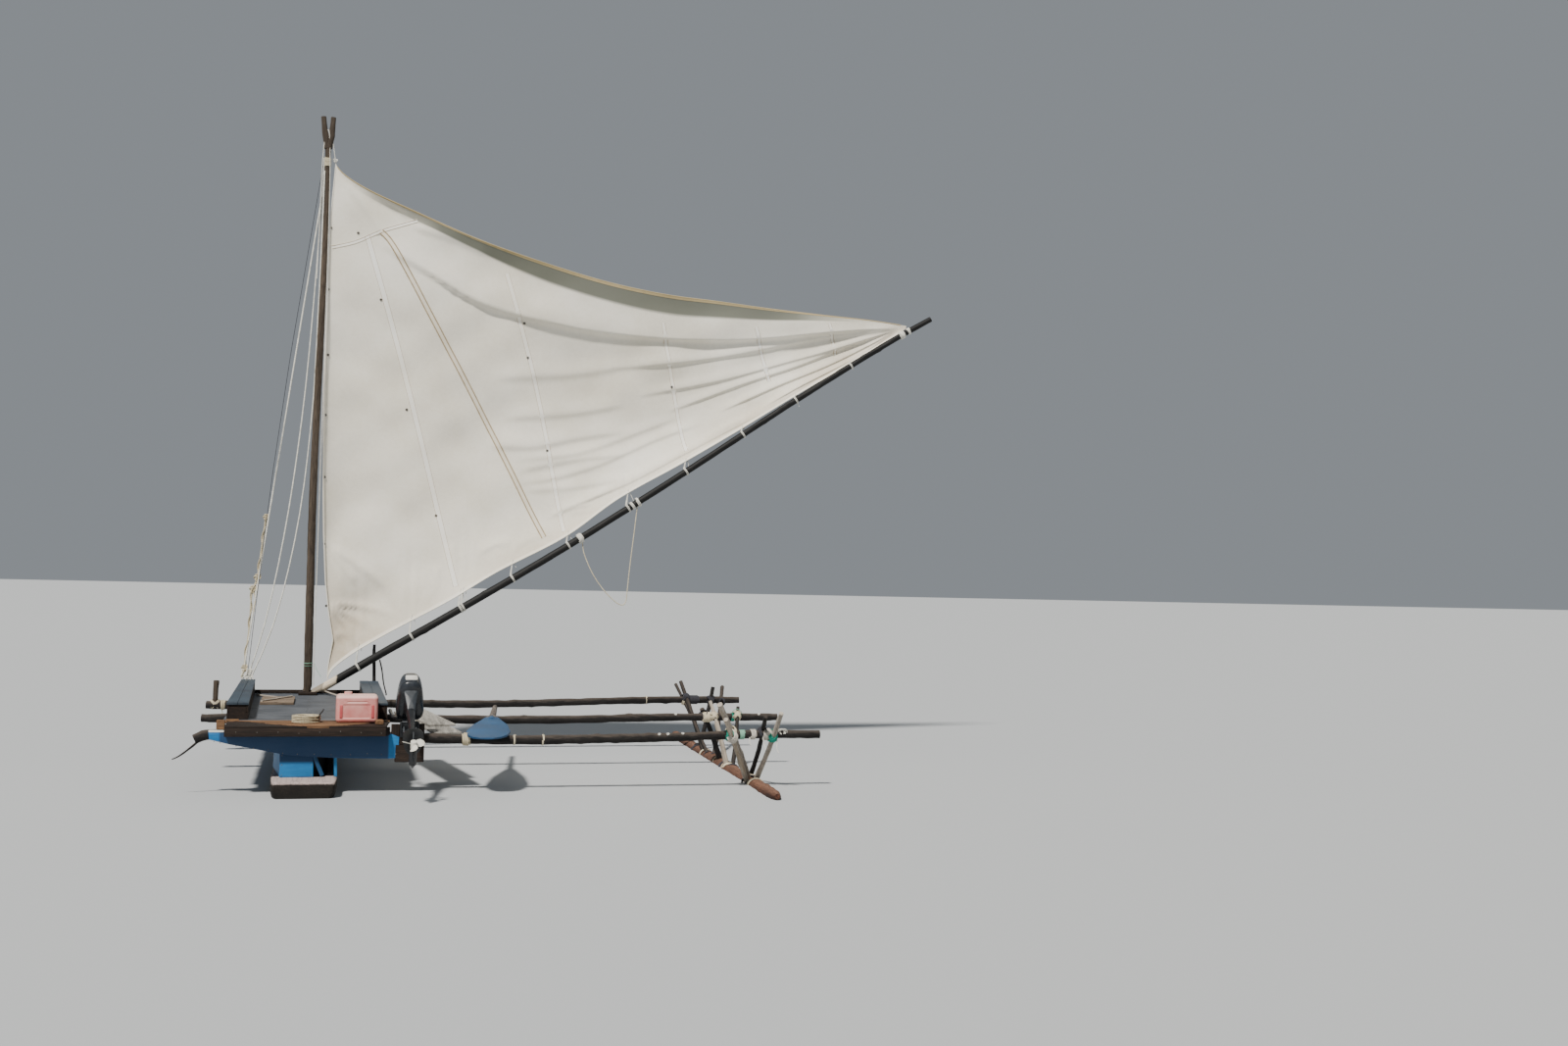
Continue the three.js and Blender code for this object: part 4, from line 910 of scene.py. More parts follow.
# Lashings and small line: turns of twine round poles, and crossed turns where two poles meet
def at_pole(node, place, axis=0):
    """Centre, direction and radius of a pole where its coordinate on an axis is a place in mm."""
    path, radius = paths[node]
    order = np.argsort(path[:, axis])
    where = np.clip(place * MM, path[:, axis].min() + 0.003, path[:, axis].max() - 0.003)
    read = lambda v: np.interp(v, path[order, axis], np.arange(len(path)))
    k = read(where)
    i = int(min(k, len(path) - 2))
    w = k - i
    a, b = path[order][i], path[order][i + 1]
    r = radius[order]
    return a + (b - a) * w, unit(b - a), r[i] + (r[i + 1] - r[i]) * w


def turns_round(centre, direction, radius, width, thick, seed=0, slack=0.12):
    """Close turns of line round a pole, a little uneven, spread over a width in metres."""
    side = unit(np.cross(direction, (0.3, 0.2, 0.9)))
    across = np.cross(direction, side)
    count = max(1.5, width / (2 * thick))
    t = np.linspace(0, 1, int(count * 22) + 2)
    angle = TURN * count * t + seed
    reach = radius + thick * (0.9 + slack * wander(t, 0.37, seed + 3))
    drift = thick * slack * 3 * wander(t, 0.21, seed)
    path = (centre + direction * ((t - 0.5) * width + drift)[:, None]
            + reach[:, None] * (np.cos(angle)[:, None] * side + np.sin(angle)[:, None] * across))
    return twine(path, thick, lift=seed)


def wrap(node, place, width, thick, axis=0, seed=0, layers=1):
    """Line wound round a CAD pole at a place, width and thickness in mm."""
    centre, direction, radius = at_pole(node, place, axis)
    return [turns_round(centre, direction, radius + 1.7 * k * thick * MM, width * MM * (1 - 0.25 * k),
                        thick * MM, seed + place + k) for k in range(layers)]


def crossed(one, two, thick, turns=4, seed=0):
    """Crossed turns that bind two poles, each given as its centre, direction and radius."""
    (c1, a1, r1), (c2, a2, r2) = one, two
    between = unit(np.cross(a1, a2))
    gap = abs(np.dot(c2 - c1, between))
    centre = (c1 + c2) / 2
    high = (r1 + r2 + gap) / 2 + thick
    parts = []
    for hand in (1, -1):
        along = unit(a1 + hand * a2)
        shift = np.cross(along, between)
        for k in range(turns):
            t = np.linspace(0, TURN, 33)
            wide = (r1 + r2) * (0.8 + 0.04 * k)
            sx = np.sign(np.cos(t)) * np.abs(np.cos(t)) ** 0.8
            sy = np.sign(np.sin(t)) * np.abs(np.sin(t)) ** 0.8
            slide = (k - (turns - 1) / 2) * 2.05 * thick + thick * 0.4 * np.sin(t * 2 + seed + k)
            loop = centre + np.outer(sx * wide, along) + np.outer(sy * high, between) + np.outer(slide, shift)
            parts.append(twine(loop, thick, lift=seed + k))
    return parts


def hanging_tail(start, length, thick, lean=(0.2, 0.0), seed=0):
    """A short end of line that hangs down with a curl."""
    t = np.linspace(0, 1, 14)
    drop = np.stack([lean[0] * t**0.7, lean[1] * t**0.7, -t], axis=1) * length
    drop[:, 0] += 0.12 * length * np.sin(4 * t + seed) * t
    return twine(np.asarray(start) + drop, thick, lift=seed)


def knot(centre, size, thick, seed=0):
    """A rounded overhand knot."""
    t = np.linspace(0, TURN, 60)
    x = np.sin(t) + 2 * np.sin(2 * t)
    y = np.cos(t) - 2 * np.cos(2 * t)
    z = -np.sin(3 * t)
    return twine(np.asarray(centre) + np.stack([x, z, y], axis=1) * size / 3, thick, lift=seed)


def straight(a, b, step=0.03, sag=0.0):
    a, b = np.asarray(a, float) * MM, np.asarray(b, float) * MM
    t = np.linspace(0, 1, max(3, int(np.linalg.norm(b - a) / step)))[:, None]
    return a + (b - a) * t - np.array([0, 0, 1.0]) * sag * 4 * t * (1 - t)


# Boxes: chamfered blocks with their grain along their longest side
def chamfer_faces():
    """Faces of a box whose corners are each cut into three points, one towards each axis."""
    corners = [(x, y, z) for x in (-1, 1) for y in (-1, 1) for z in (-1, 1)]
    name = {(c, axis): 3 * i + axis for i, c in enumerate(corners) for axis in range(3)}
    faces = []
    for axis in range(3):
        for hand in (-1, 1):
            others = [k for k in range(3) if k != axis]
            ring = []
            for a, b in ((-1, -1), (1, -1), (1, 1), (-1, 1)):
                c = [0, 0, 0]
                c[axis], c[others[0]], c[others[1]] = hand, a, b
                ring.append(name[tuple(c), axis])
            faces.append(ring)
    for axis in range(3):
        p, q = [k for k in range(3) if k != axis]
        for a in (-1, 1):
            for b in (-1, 1):
                low, high = [0, 0, 0], [0, 0, 0]
                low[axis], high[axis] = -1, 1
                for c in (low, high):
                    c[p], c[q] = a, b
                low, high = tuple(low), tuple(high)
                faces.append([name[low, p], name[high, p], name[high, q], name[low, q]])
    for c in corners:
        faces.append([name[c, 0], name[c, 1], name[c, 2]])
    points = np.array([[v * (1.0 if k == axis else 0.8) for k, v in enumerate(c)]
                       for c in corners for axis in range(3)])
    out = []
    for face in faces:
        middle = points[face].mean(0)
        normal = np.cross(points[face[1]] - points[face[0]], points[face[2]] - points[face[0]])
        out.append(tuple(face if normal @ middle > 0 else face[::-1]))
    return out


BLOCK_FACES = chamfer_faces()
draw_lift = np.random.default_rng(11)


def block(low, high, chamfer=3.0, turn=0.0, about=None, bend=None):
    """A chamfered box between two corners in mm, turned about +Z by degrees round a point."""
    low, high = np.asarray(low, float), np.asarray(high, float)
    middle, half = (low + high) / 2, (high - low) / 2
    cut = min(chamfer, half.min() * 0.8)
    points = []
    for x in (-1, 1):
        for y in (-1, 1):
            for z in (-1, 1):
                for axis in range(3):
                    c = np.array([x, y, z], float)
                    inset = np.full(3, cut)
                    inset[axis] = 0
                    points.append(c * (half - inset))
    points = np.array(points)
    order = np.argsort(half)
    grain = points[:, order] * MM + np.array([0, draw_lift.uniform(0, 3), draw_lift.uniform(0, 9)])
    a = math.radians(turn)
    spin = np.array([[math.cos(a), -math.sin(a), 0], [math.sin(a), math.cos(a), 0], [0, 0, 1]])
    about = middle if about is None else np.asarray(about, float)
    points = (middle + points - about) @ spin.T + about
    if bend:
        points = bend(points)
    return points * MM, BLOCK_FACES, grain


def nail(at, normal=(0, 0, 1), r=4.5):
    at, normal = np.asarray(at, float) * MM, unit(normal)
    rise = np.array([-0.5, 0.4, 0.9]) * r * MM * 0.6
    return sweep(at + np.outer(rise, normal), np.array([1.0, 1.0, 0.45]) * r * MM, 7)


def bump_band(value, low, high, soft):
    """One between low and high, falling to nought over a soft edge."""
    up = np.clip((value - low) / soft + 0.5, 0, 1)
    down = np.clip((high - value) / soft + 0.5, 0, 1)
    return (up * up * (3 - 2 * up)) * (down * down * (3 - 2 * down))


# Mast and boom
def resampled(path, step):
    gone = np.concatenate([[0], np.cumsum(np.linalg.norm(np.diff(path, axis=0), axis=1))])
    walk = np.linspace(0, gone[-1], max(3, int(round(gone[-1] / step)) + 1))
    return np.stack([np.interp(walk, gone, path[:, i]) for i in range(3)], axis=1)


FORK_ROOT = 6.47
PRONGS = [
    # x of the foot, x halfway and x of the tip, in mm
    (0, -30, -48),
    (16, 40, 54),
]
JAW_RADIUS = 0.049  # the heel's hollow round the mast
MAST_LINE = np.array([-0.0275, -0.6])
HEEL_Z = 0.6325
BOOM_R = (0.043, 0.032)


def make_mast():
    path, radius = centreline("mast", 2, 0.02)
    keep = path[:, 2] < FORK_ROOT
    path, radius = path[keep], radius[keep]
    paths["mast"] = path, radius
    parts = [sweep(path, radius, 24, knotty(31, length_of(path), 0.02, 14, 0.12))]
    for foot, half, tip in PRONGS:
        prong = even_path(np.array([(foot, -600, 6400), (half, -600, 6570), (tip, -600, 6737)]) * MM, 0.012)
        parts.append(sweep(prong, np.linspace(0.033, 0.027, len(prong)), 16, knotty(33, 0.3, 0.04, 1)))
    made("mast_pole", parts, MAST_WOOD, "root", "mast")


def make_boom():
    path = even_path([(x * MM, SAIL_Y * MM, z * MM) for x, z in BOOM_AXIS], 0.012)
    radius = np.linspace(*BOOM_R, len(path))
    paths["boom"] = path, radius
    points, faces, grain = sweep(path, radius, 24, knotty(41, length_of(path), 0.022, 18, 0.14))
    away = points[:, :2] - MAST_LINE
    gap = np.linalg.norm(away, axis=1)
    inside = (gap < JAW_RADIUS) & (points[:, 2] < 0.72)
    points[inside, :2] = MAST_LINE + away[inside] / gap[inside, None] * JAW_RADIUS
    points[:, 2] = np.maximum(points[:, 2], HEEL_Z)
    worn = points[:, 0] + 0.004 * np.sin(points[:, 1] * 300)
    bare = 0.4 * bump_band(worn, -1, 0.128, 0.012) + bump_band(worn, 0.128, 0.262, 0.012)
    made("boom_pole", [(points, faces, grain)], TARRED, "boom_rig", "boom", extra={"bare": bare})


make_mast()
make_boom()

BOOM_WRAPS = [
    # x, width and line radius in mm, and layers
    (2809, 60, 5, 2),
    (3378, 30, 5, 1),
    (3443, 30, 5, 2),
    (6500, 70, 4, 2),
    (6580, 36, 4, 1),
]
DOUBLE_TIES = (1534,)


def make_sail_ties():
    parts = []
    foot = sail_surface(np.linspace(0, 1, 900), np.full(900, 0.012))
    for seed, x in enumerate(TIES):
        for k in range(2 if x in DOUBLE_TIES else 1):
            centre, direction, radius = at_pole("boom", x + 26 * k)
            hole = foot[np.argmin(np.abs(foot[:, 0] - centre[0]))] + np.array([0, 0, 0.012])
            up = unit(hole - centre - direction * ((hole - centre) @ direction))
            side = np.cross(direction, up)
            r = radius + 0.005
            bearings = np.radians(np.linspace(120, 420, 15))
            round_boom = centre + r * (np.outer(np.cos(bearings), side) + np.outer(np.sin(bearings), up))
            for shift in (-0.006, 0.006):
                loop = np.vstack([hole - side * 0.004, round_boom + direction * shift, hole + side * 0.004])
                parts.append(twine(even_path(loop, 0.008), 0.0042, lift=seed))
            parts.append(knot(hole - side * 0.012 - up * 0.02, 0.017, 0.004, seed))
            tail = 0.07 + 0.03 * (seed % 3)
            parts.append(hanging_tail(hole - side * 0.014 - up * 0.02, tail, 0.003, (0.3, -0.2), seed))
    for x, width, thick, layers in BOOM_WRAPS:
        parts += wrap("boom", x, width, thick, seed=x, layers=layers)
    made("sail_ties", parts, WHITE_LINE, "boom_rig")


make_sail_ties()

# Standing lines: laid ropes on the CAD stays, the tackle on the outer one, halyard and head lashings
STAYS = ("stay_outer", "stay_middle", "stay_inner")
TACKLE = [(-508, -497, 2463), (-552, -492, 2018), (-575, -490, 1811), (-618, -488, 1686), (-640, -484, 1294),
          (-668, -482, 986), (-690, -480, 770)]
HEAD_WRAPS = [(6255, 90, 4, 1)]


def make_stays():
    for node in STAYS:
        path, radius = centreline(node, 2, 0.03)
        radius = float(radius.max()) + 0.002
        paths[node] = path, np.full(len(path), radius)
        ends = path[np.argsort(path[:, 2])]
        parts = [laid_rope(resampled(path, 0.0062), radius)]
        low = ends[0]
        parts.append(knot(low + np.array([0, 0, 0.028]), 0.02, 0.0055))
        parts.append(turns_round(low + np.array([0, 0, 0.075]), unit(ends[3] - ends[0]), radius, 0.07, 0.004, 3))
        parts.append(hanging_tail(low + np.array([0.01, -0.012, 0.05]), 0.05, 0.004, (0.5, -0.5), 2))
        made(node + "_rope", parts, WHITE_LINE, "root", node)
    thick = even_path(np.array(TACKLE) * MM, 0.008)
    parts = [laid_rope(thick, 0.009)]
    winding = thick[:, 2] * 21
    second = thick + np.stack([0.014 * np.cos(winding), 0.012 * np.sin(winding), 0 * winding], axis=1)
    parts.append(laid_rope(second, 0.0075))
    for x, y, z, size in ((-575, -490, 1811, 0.034), (-616, -488, 1690, 0.034), (-508, -497, 2450, 0.026),
                          (-676, -482, 860, 0.03)):
        parts.append(knot(np.array([x, y, z]) * MM, size, 0.008))
        parts.append(knot(np.array([x + 6, y, z + 22]) * MM, size * 0.8, 0.007))
    parts.append(hanging_tail(np.array([-616, -488, 1680]) * MM, 0.22, 0.006, (0.2, -0.1), 1))
    made("stay_tackle", parts, HEMP, "root")
    dark = [sweep(resampled(np.array([(-40, -612, 6210), (-306, -600, 4200), (-448, -580, 2950), (-545, -560, 1900),
                                      (-640, -545, 790)]) * MM, 0.05), 0.003, 6)]
    made("backstay_line", dark, DARK_LINE, "root")
    halyard = np.array([(30, -612, 700), (28, -640, 950), (30, -642, 2600), (34, -636, 4200), (38, -632, 5600),
                        (30, -628, 6300), (14, -618, 6560), (4, -600, 6600), (-16, -612, 6570), (-44, -622, 6300),
                        (-52, -624, 5900), (-66, -622, 5000)]) * MM
    parts = [laid_rope(even_path(halyard, 0.006), 0.005)]
    peak = even_path(np.array([(6, -600, 6600), (46, -606, 6500), (84, -604, 6290)]) * MM, 0.006)
    parts.append(laid_rope(peak, 0.005))
    parts.append(knot(np.array([86, -606, 6275]) * MM, 0.022, 0.005))
    made("halyard_rope", parts, WHITE_LINE, "root")
    parts = []
    for z, width, thick, layers in HEAD_WRAPS:
        parts += wrap("mast", z, width, thick, axis=2, seed=z, layers=layers)
    made("mast_head_lashing", parts, CREAM_LINE, "root")
    foot = wrap("mast", 931, 7, 2, axis=2) + wrap("mast", 902, 5, 2, axis=2)
    foot += [hanging_tail((0.03, -0.65, 0.93), 0.14, 0.002, (0.4, -0.2), 4)]
    made("mast_foot_lashing", foot, GREEN_LINE, "root")


make_stays()

# Outrigger lashings
POLE_WRAPS = [
    # pole, axis, place, width and line radius in mm, layers, line
    ("beam_stern", 0, 1366, 68, 5, 2, HEMP),
    ("beam_stern", 0, 1787, 16, 4, 1, CREAM_LINE),
    ("beam_stern", 0, 2039, 16, 4, 1, CREAM_LINE),
    ("beam_stern", 0, 3748, 84, 3, 2, TEAL_LINE),
    ("beam_stern", 0, 3862, 46, 3, 1, GREEN_LINE),
    ("beam_stern", 0, 3965, 50, 5, 1, RAG),
    ("beam_stern", 0, 4100, 84, 5, 2, RAG),
    ("beam_middle", 0, 3940, 96, 4, 2, CREAM_LINE),
    ("beam_middle", 0, 4210, 30, 4, 1, TEAL_LINE),
    ("beam_fore", 0, 3611, 12, 4, 1, CREAM_LINE),
    ("beam_fore", 0, 4148, 134, 4, 2, DARK_LINE),
    ("beam_fore", 0, -872, 44, 4, 1, HEMP),
    ("float_log", 1, -3700, 60, 6, 1, CREAM_LINE),
    ("float_log", 1, -2250, 60, 6, 1, DARK_LINE),
    ("float_log", 1, -620, 60, 6, 1, DARK_LINE),
]
STRUT_LINES = {
    # strut: line at its top, line at its foot
    1: (CREAM_LINE, CREAM_LINE), 2: (TEAL_LINE, CREAM_LINE), 3: (RAG, DARK_LINE), 4: (DARK_LINE, DARK_LINE),
    5: (CREAM_LINE, CREAM_LINE), 6: (CREAM_LINE, DARK_LINE), 7: (DARK_LINE, CREAM_LINE), 8: (DARK_LINE, DARK_LINE),
    9: (DARK_LINE, CREAM_LINE), 10: (DARK_LINE, DARK_LINE), 11: (CREAM_LINE, DARK_LINE),
}


def near_points(one, two):
    a, b = paths[one][0], paths[two][0]
    gap = np.linalg.norm(a[:, None] - b[None], axis=2)
    i, j = np.unravel_index(np.argmin(gap), gap.shape)
    out = []
    for node, k in ((one, i), (two, j)):
        path, radius = paths[node]
        out.append((path[k], unit(path[min(k + 1, len(path) - 1)] - path[max(k - 1, 0)]), radius[k]))
    return out, gap[i, j]


def make_lashings():
    by_line = {WHITE_LINE.name: (WHITE_LINE, [])}
    for pole, axis, place, width, thick, layers, line in POLE_WRAPS:
        by_line.setdefault(line.name, (line, []))[1].extend(wrap(pole, place, width, thick, axis, place, layers))
    for number, lines in STRUT_LINES.items():
        strut = f"strut_{number}"
        for pole in ("beam_stern", "beam_middle", "beam_fore", "float_log"):
            ends, gap = near_points(strut, pole)
            if gap > ends[0][2] + ends[1][2] + 0.03:
                continue
            line = lines[pole == "float_log"]
            by_line.setdefault(line.name, (line, []))[1].extend(
                crossed(*ends, 0.0045 if line is not RAG else 0.007, 4, number))
    for pole, x in (("beam_stern", 3086), ("beam_stern", 3167), ("beam_stern", 3303), ("beam_middle", 3606),
                    ("beam_middle", 4484)):
        centre, _, r = at_pole(pole, x)
        by_line[WHITE_LINE.name][1].append(knot(centre + np.array([0, -0.6, 0.8]) * r, 0.011, 0.004, x))
    ends, _ = near_points("peg_port", "beam_fore")
    by_line[CREAM_LINE.name][1].extend(crossed(*ends, 0.004, 3, 3))
    by_line[CREAM_LINE.name][1].append(hanging_tail((-0.905, -0.575, 0.49), 0.12, 0.004, (0.3, -0.2)))
    whites = by_line[WHITE_LINE.name][1]
    for x, z, fall in ((4057, 470, 0.11), (4187, 460, 0.13), (3930, 470, 0.07)):
        whites.append(hanging_tail(np.array([x, -3985, z]) * MM, fall, 0.0045, (0.1, -0.2), x))
    for k in range(3):
        ring = np.radians(np.linspace(-40, 230, 16))
        at = np.array([4225 + 14 * k, -3990, 520]) * MM
        loop = at + 0.034 * np.stack([np.cos(ring), 0.3 * np.sin(ring * 2 + k), 0.8 * np.sin(ring)], axis=1)
        whites.append(twine(loop, 0.004))
    greens = by_line[GREEN_LINE.name][1]
    droop = even_path(np.array([(4196, -2168, 540), (4206, -2196, 570), (4236, -2200, 585), (4286, -2190, 560),
                                (4300, -2160, 530), (4262, -2180, 470)]) * MM, 0.01)
    greens.append(twine(droop, 0.003))
    for name, (line, parts) in by_line.items():
        made("lashing_" + name, parts, line, "root")


make_lashings()


# Platform: deck planks, the side boxes' boards and the fittings that lie about
DECK = {"half": 700, "aft": -3660, "fore": -400, "low": 576, "top": 600, "planks": 22, "gap": 4}
BEARER_LINES = (-610, 0, 610)
SIDE_BOXES = [
    # name, aft y, x of its sides at the aft end, fore y, x of its sides at the fore end
    ("side_box_left", -3585, -672, -487, -450, -700, -562),
    ("side_box_right", -3605, 508, 696, -620, 500, 690),
]
BOX_LOW, BOX_TOP = 600.3, 750


def make_deck():
    draw = np.random.default_rng(3)
    d = DECK
    pitch = (d["fore"] - d["aft"]) / d["planks"]
    planks, nails = [], []
    for k in range(d["planks"]):
        y0 = d["aft"] + k * pitch + (0 if k == 0 else d["gap"] / 2)
        y1 = d["aft"] + (k + 1) * pitch - (0 if k == d["planks"] - 1 else d["gap"] / 2)
        sink = draw.uniform(0, 2.5)
        planks.append(block((-d["half"] + draw.uniform(0, 9), y0, d["low"]),
                            (d["half"] - draw.uniform(0, 9), y1, d["top"] - sink), 3))
        for x in BEARER_LINES:
            for y in (y0 + 30, y1 - 30):
                nails.append(nail((x + draw.uniform(-14, 14), y + draw.uniform(-8, 8), d["top"] - sink), r=4))
    made("deck_planks", planks, SLATE_DECK, "root", "deck")
    made("deck_nails", nails, ZINC, "root")


def make_side_boxes():
    for name, aft, a0, a1, fore, b0, b1 in SIDE_BOXES:
        def bend(p):
            t = p[:, 1] / 1000
            left, right = a0 + (b0 - a0) * t, a1 + (b1 - a1) * t
            return np.stack([left + (right - left) * p[:, 0] / 1000, aft + (fore - aft) * t, p[:, 2]], axis=1)

        lid = [block((2, 0, BOX_TOP - 22), (484, 1000, BOX_TOP), 2, bend=bend),
               block((500, 0, BOX_TOP - 22), (998, 1000, BOX_TOP - 2), 2, bend=bend)]
        made(name + "_lid", lid, SLATE_BOX, "root", name)
        walls = []
        for s0, s1 in ((12, 120), (880, 988)):
            walls.append(block((s0, 3, BOX_LOW), (s1, 997, 662), 2, bend=bend))
            walls.append(block((s0 + 6, 3, 665), (s1 - 6, 997, BOX_TOP - 23), 2, bend=bend))
        for t0, t1 in ((4, 11), (989, 996)):
            walls.append(block((122, t0, BOX_LOW), (878, t1, BOX_TOP - 24), 1, bend=bend))
        made(name + "_walls", walls, DARK_BOARD, "root")
        nails = []
        for t in np.linspace(20, 980, 14):
            for s in (60, 430, 570, 940):
                x, y, z = bend(np.array([[s, t, BOX_TOP - 1]]))[0]
                nails.append(nail((x, y, z), r=3.5))
        made(name + "_nails", nails, ZINC, "root")


make_deck()
make_side_boxes()

TANK = {"low": (248, -3930, 600.3), "high": (604, -3640, 836.3), "cap": (350, -3730)}


def rounded_box(low, high, radius, cells, relief=None):
    """A box with round edges from six grids, and relief(points, normals) lifts its skin, in mm."""
    low, high = np.asarray(low, float), np.asarray(high, float)
    half, middle = (high - low) / 2, (high + low) / 2
    radius = np.asarray(radius, float)
    index, points, faces = {}, [], []
    ticks = np.linspace(-1, 1, cells + 1)
    for axis in range(3):
        p, q = [k for k in range(3) if k != axis]
        for hand in (-1, 1):
            grid = np.empty((cells + 1, cells + 1), int)
            for i, a in enumerate(ticks):
                for j, b in enumerate(ticks):
                    c = [0.0] * 3
                    c[axis], c[p], c[q] = float(hand), a, b
                    key = tuple(round(v, 6) for v in c)
                    if key not in index:
                        index[key] = len(points)
                        points.append(c)
                    grid[i, j] = index[key]
            for i in range(cells):
                for j in range(cells):
                    ring = (grid[i, j], grid[i + 1, j], grid[i + 1, j + 1], grid[i, j + 1])
                    a, b, c = (np.array(points[k]) for k in ring[:3])
                    out = np.zeros(3)
                    out[axis] = hand
                    faces.append(ring if np.cross(b - a, c - b) @ out > 0 else ring[::-1])
    cube = np.array(points) * half
    core = np.clip(cube, radius - half, half - radius)
    away = cube - core
    normal = unit(np.where(np.abs(away) < 1e-9, 0, away) / radius)
    skin = core + normal * radius
    if relief:
        skin = skin + normal * relief(skin, normal)[:, None]
    skin = skin + middle
    return skin * MM, faces, skin * MM


def tank_relief(p, n):
    """The can's inset panel, the groove above, and waists in its sides, in mm."""
    x, y, z = p.T
    front = np.abs(n[:, 1]) > 0.95
    panel = bump_band(x, -118, 108, 10) * bump_band(z, -78, 40, 10)
    groove = bump_band(x, -84, 84, 10) * bump_band(z, 58, 66, 8)
    out = np.where(front, -4 * panel - 5 * groove, 0)
    side = np.abs(n[:, 0]) > 0.95
    out += np.where(side, -7 * bump_band(y, -86, 86, 14) * bump_band(z, -70, 56, 14), 0)
    top = n[:, 2] > 0.95
    out += np.where(top, -6 * bump_band(x, 0, 120, 12) * bump_band(y, -52, 52, 14), 0)
    return out


def make_tank():
    low, high = TANK["low"], TANK["high"]
    body = rounded_box(low, high, (34, 34, 30), 84, tank_relief)
    x, y = TANK["cap"]
    z = high[2]
    ridged = lambda along, around: 1 + 0.05 * np.cos(18 * around) * (along > 0.004) + 0 * along
    cap = sweep(np.array([(x, y, z - 6), (x, y, z + 3), (x, y, z + 6), (x, y, z + 20), (x, y, z + 23)]) * MM,
                np.array([34, 34, 31, 31, 27]) * MM, 72, ridged)
    vent = sweep(np.array([(x + 14, y, z + 22), (x + 14, y, z + 24)]) * MM, 0.006, 12)
    made("fuel_can", [body, cap, vent], TANK_RED, "root", "fuel_tank")
    lobes = []
    for hand in (-1, 1):
        middle = (low[0] + high[0]) / 2 + hand * 134
        lobes.append(rounded_box((middle - 13, low[1] - 3, low[2] + 38), (middle + 13, low[1] + 9, low[2] + 158),
                                 (6, 5, 6), 8))
    made("fuel_can_lobes", lobes, TANK_DEEP, "root")


make_tank()


# Loose gear on the platform
STICKS = [
    # name, ends in mm, radius, material, slot
    ("stick_on_deck", (-528, -828, 611), (-198, -1280, 611), 9, PEELED, "peeled_stick"),
    ("stick_on_board", (-440, -1905, 634), (-170, -1290, 635), 8, PEELED, "peeled_stick"),
    ("stick_by_coil", (76, -3912, 607), (146, -3868, 716), 5, BARK, "dark_pole"),
    ("stick_by_post", (699, -700, 978), (777, -700, 601), 7, BARK, "dark_pole"),
    ("stick_at_coaming", (78, -470, 652), (280, -905, 612), 8, PEELED, "peeled_stick"),
]


def make_loose_gear():
    for seed, (name, a, b, r, material, slot) in enumerate(STICKS):
        path = straight(a, b, 0.02)
        path[1:-1, 0] += 0.004 * np.sin(np.linspace(0, 7, len(path) - 2))
        made(name, [sweep(path, r * MM, 12, knotty(60 + seed, length_of(path), 0.06, 4))], material, "root")


make_loose_gear()


# Solids that keep their form: copies with broken edges and the finish of the real piece
COPIES = [
    # node, finish, width of the broken edge in mm, body
    ("washstrake_left", BLUE_STRAKE, 3, "root"),
    ("washstrake_right", BLUE_STRAKE, 3, "root"),
    ("riser_panel_stern", BLUE_BOARD, 3, "root"),
    ("riser_panel_bow", BLUE_BOARD, 3, "root"),
    ("cross_panel_stern", BLUE_BOARD, 3, "root"),
    ("thwart_aft", DRIFT_BOARD, 4, "root"),
    ("thwart_fore", DRIFT_BOARD, 4, "root"),
    ("bearer_left", DARK_BOARD, 4, "root"),
    ("bearer_middle", DARK_BOARD, 4, "root"),
    ("bearer_right", DARK_BOARD, 4, "root"),
    ("deck_edge_plank", EDGE_PLANK, 4, "root"),
    ("fascia_stern", DARK_BOARD, 5, "root"),
    ("stern_board_left", DARK_BOARD, 3, "root"),
    ("stern_board_right", DARK_BOARD, 3, "root"),
    ("coaming_fore", DARK_BOARD, 3, "root"),
    ("loose_board", TAN_BOARD, 3, "root"),
    ("mast_step", DARK_BOARD, 6, "root"),
    ("spare_board_long", DRIFT_BOARD, 3, "root"),
    ("spare_board_short", DRIFT_BOARD, 3, "root"),
    ("motor_board", DARK_BOARD, 4, "root"),
    ("motor_clamp", CAST_DARK, 2.5, "root"),
    ("motor_swivel", CAST_DARK, 2.5, "motor_tilting"),
    ("motor_leg", ENAMEL, 3, "motor_steering"),
    ("motor_tiller", ENAMEL, 0, "motor_steering"),
    ("propeller", PROP_WHITE, 0.8, "motor_propeller"),
    ("steering_oar", NAVY_PAINT_AND_BRACE_SHADE, 2, "root"),
]


def softened(node, width, angle=32):
    """A CAD node's mesh with flat faces whole again and its corners broken."""
    work = bmesh.new()
    work.from_mesh(NODES[node].data)
    bmesh.ops.remove_doubles(work, verts=work.verts, dist=1e-5)
    bmesh.ops.dissolve_limit(work, angle_limit=math.radians(1), verts=work.verts, edges=work.edges)
    if width:
        sharp = [e for e in work.edges if len(e.link_faces) == 2 and e.calc_face_angle(0) > math.radians(angle)]
        bmesh.ops.bevel(work, geom=sharp, offset=width * MM, segments=2, profile=0.6, affect="EDGES",
                        clamp_overlap=True)
    mesh = bpy.data.meshes.new(node + "_soft")
    work.to_mesh(mesh)
    work.free()
    return mesh


def corners_of(mesh):
    points = np.empty(len(mesh.vertices) * 3, np.float32)
    mesh.vertices.foreach_get("co", points)
    return points.reshape(-1, 3)


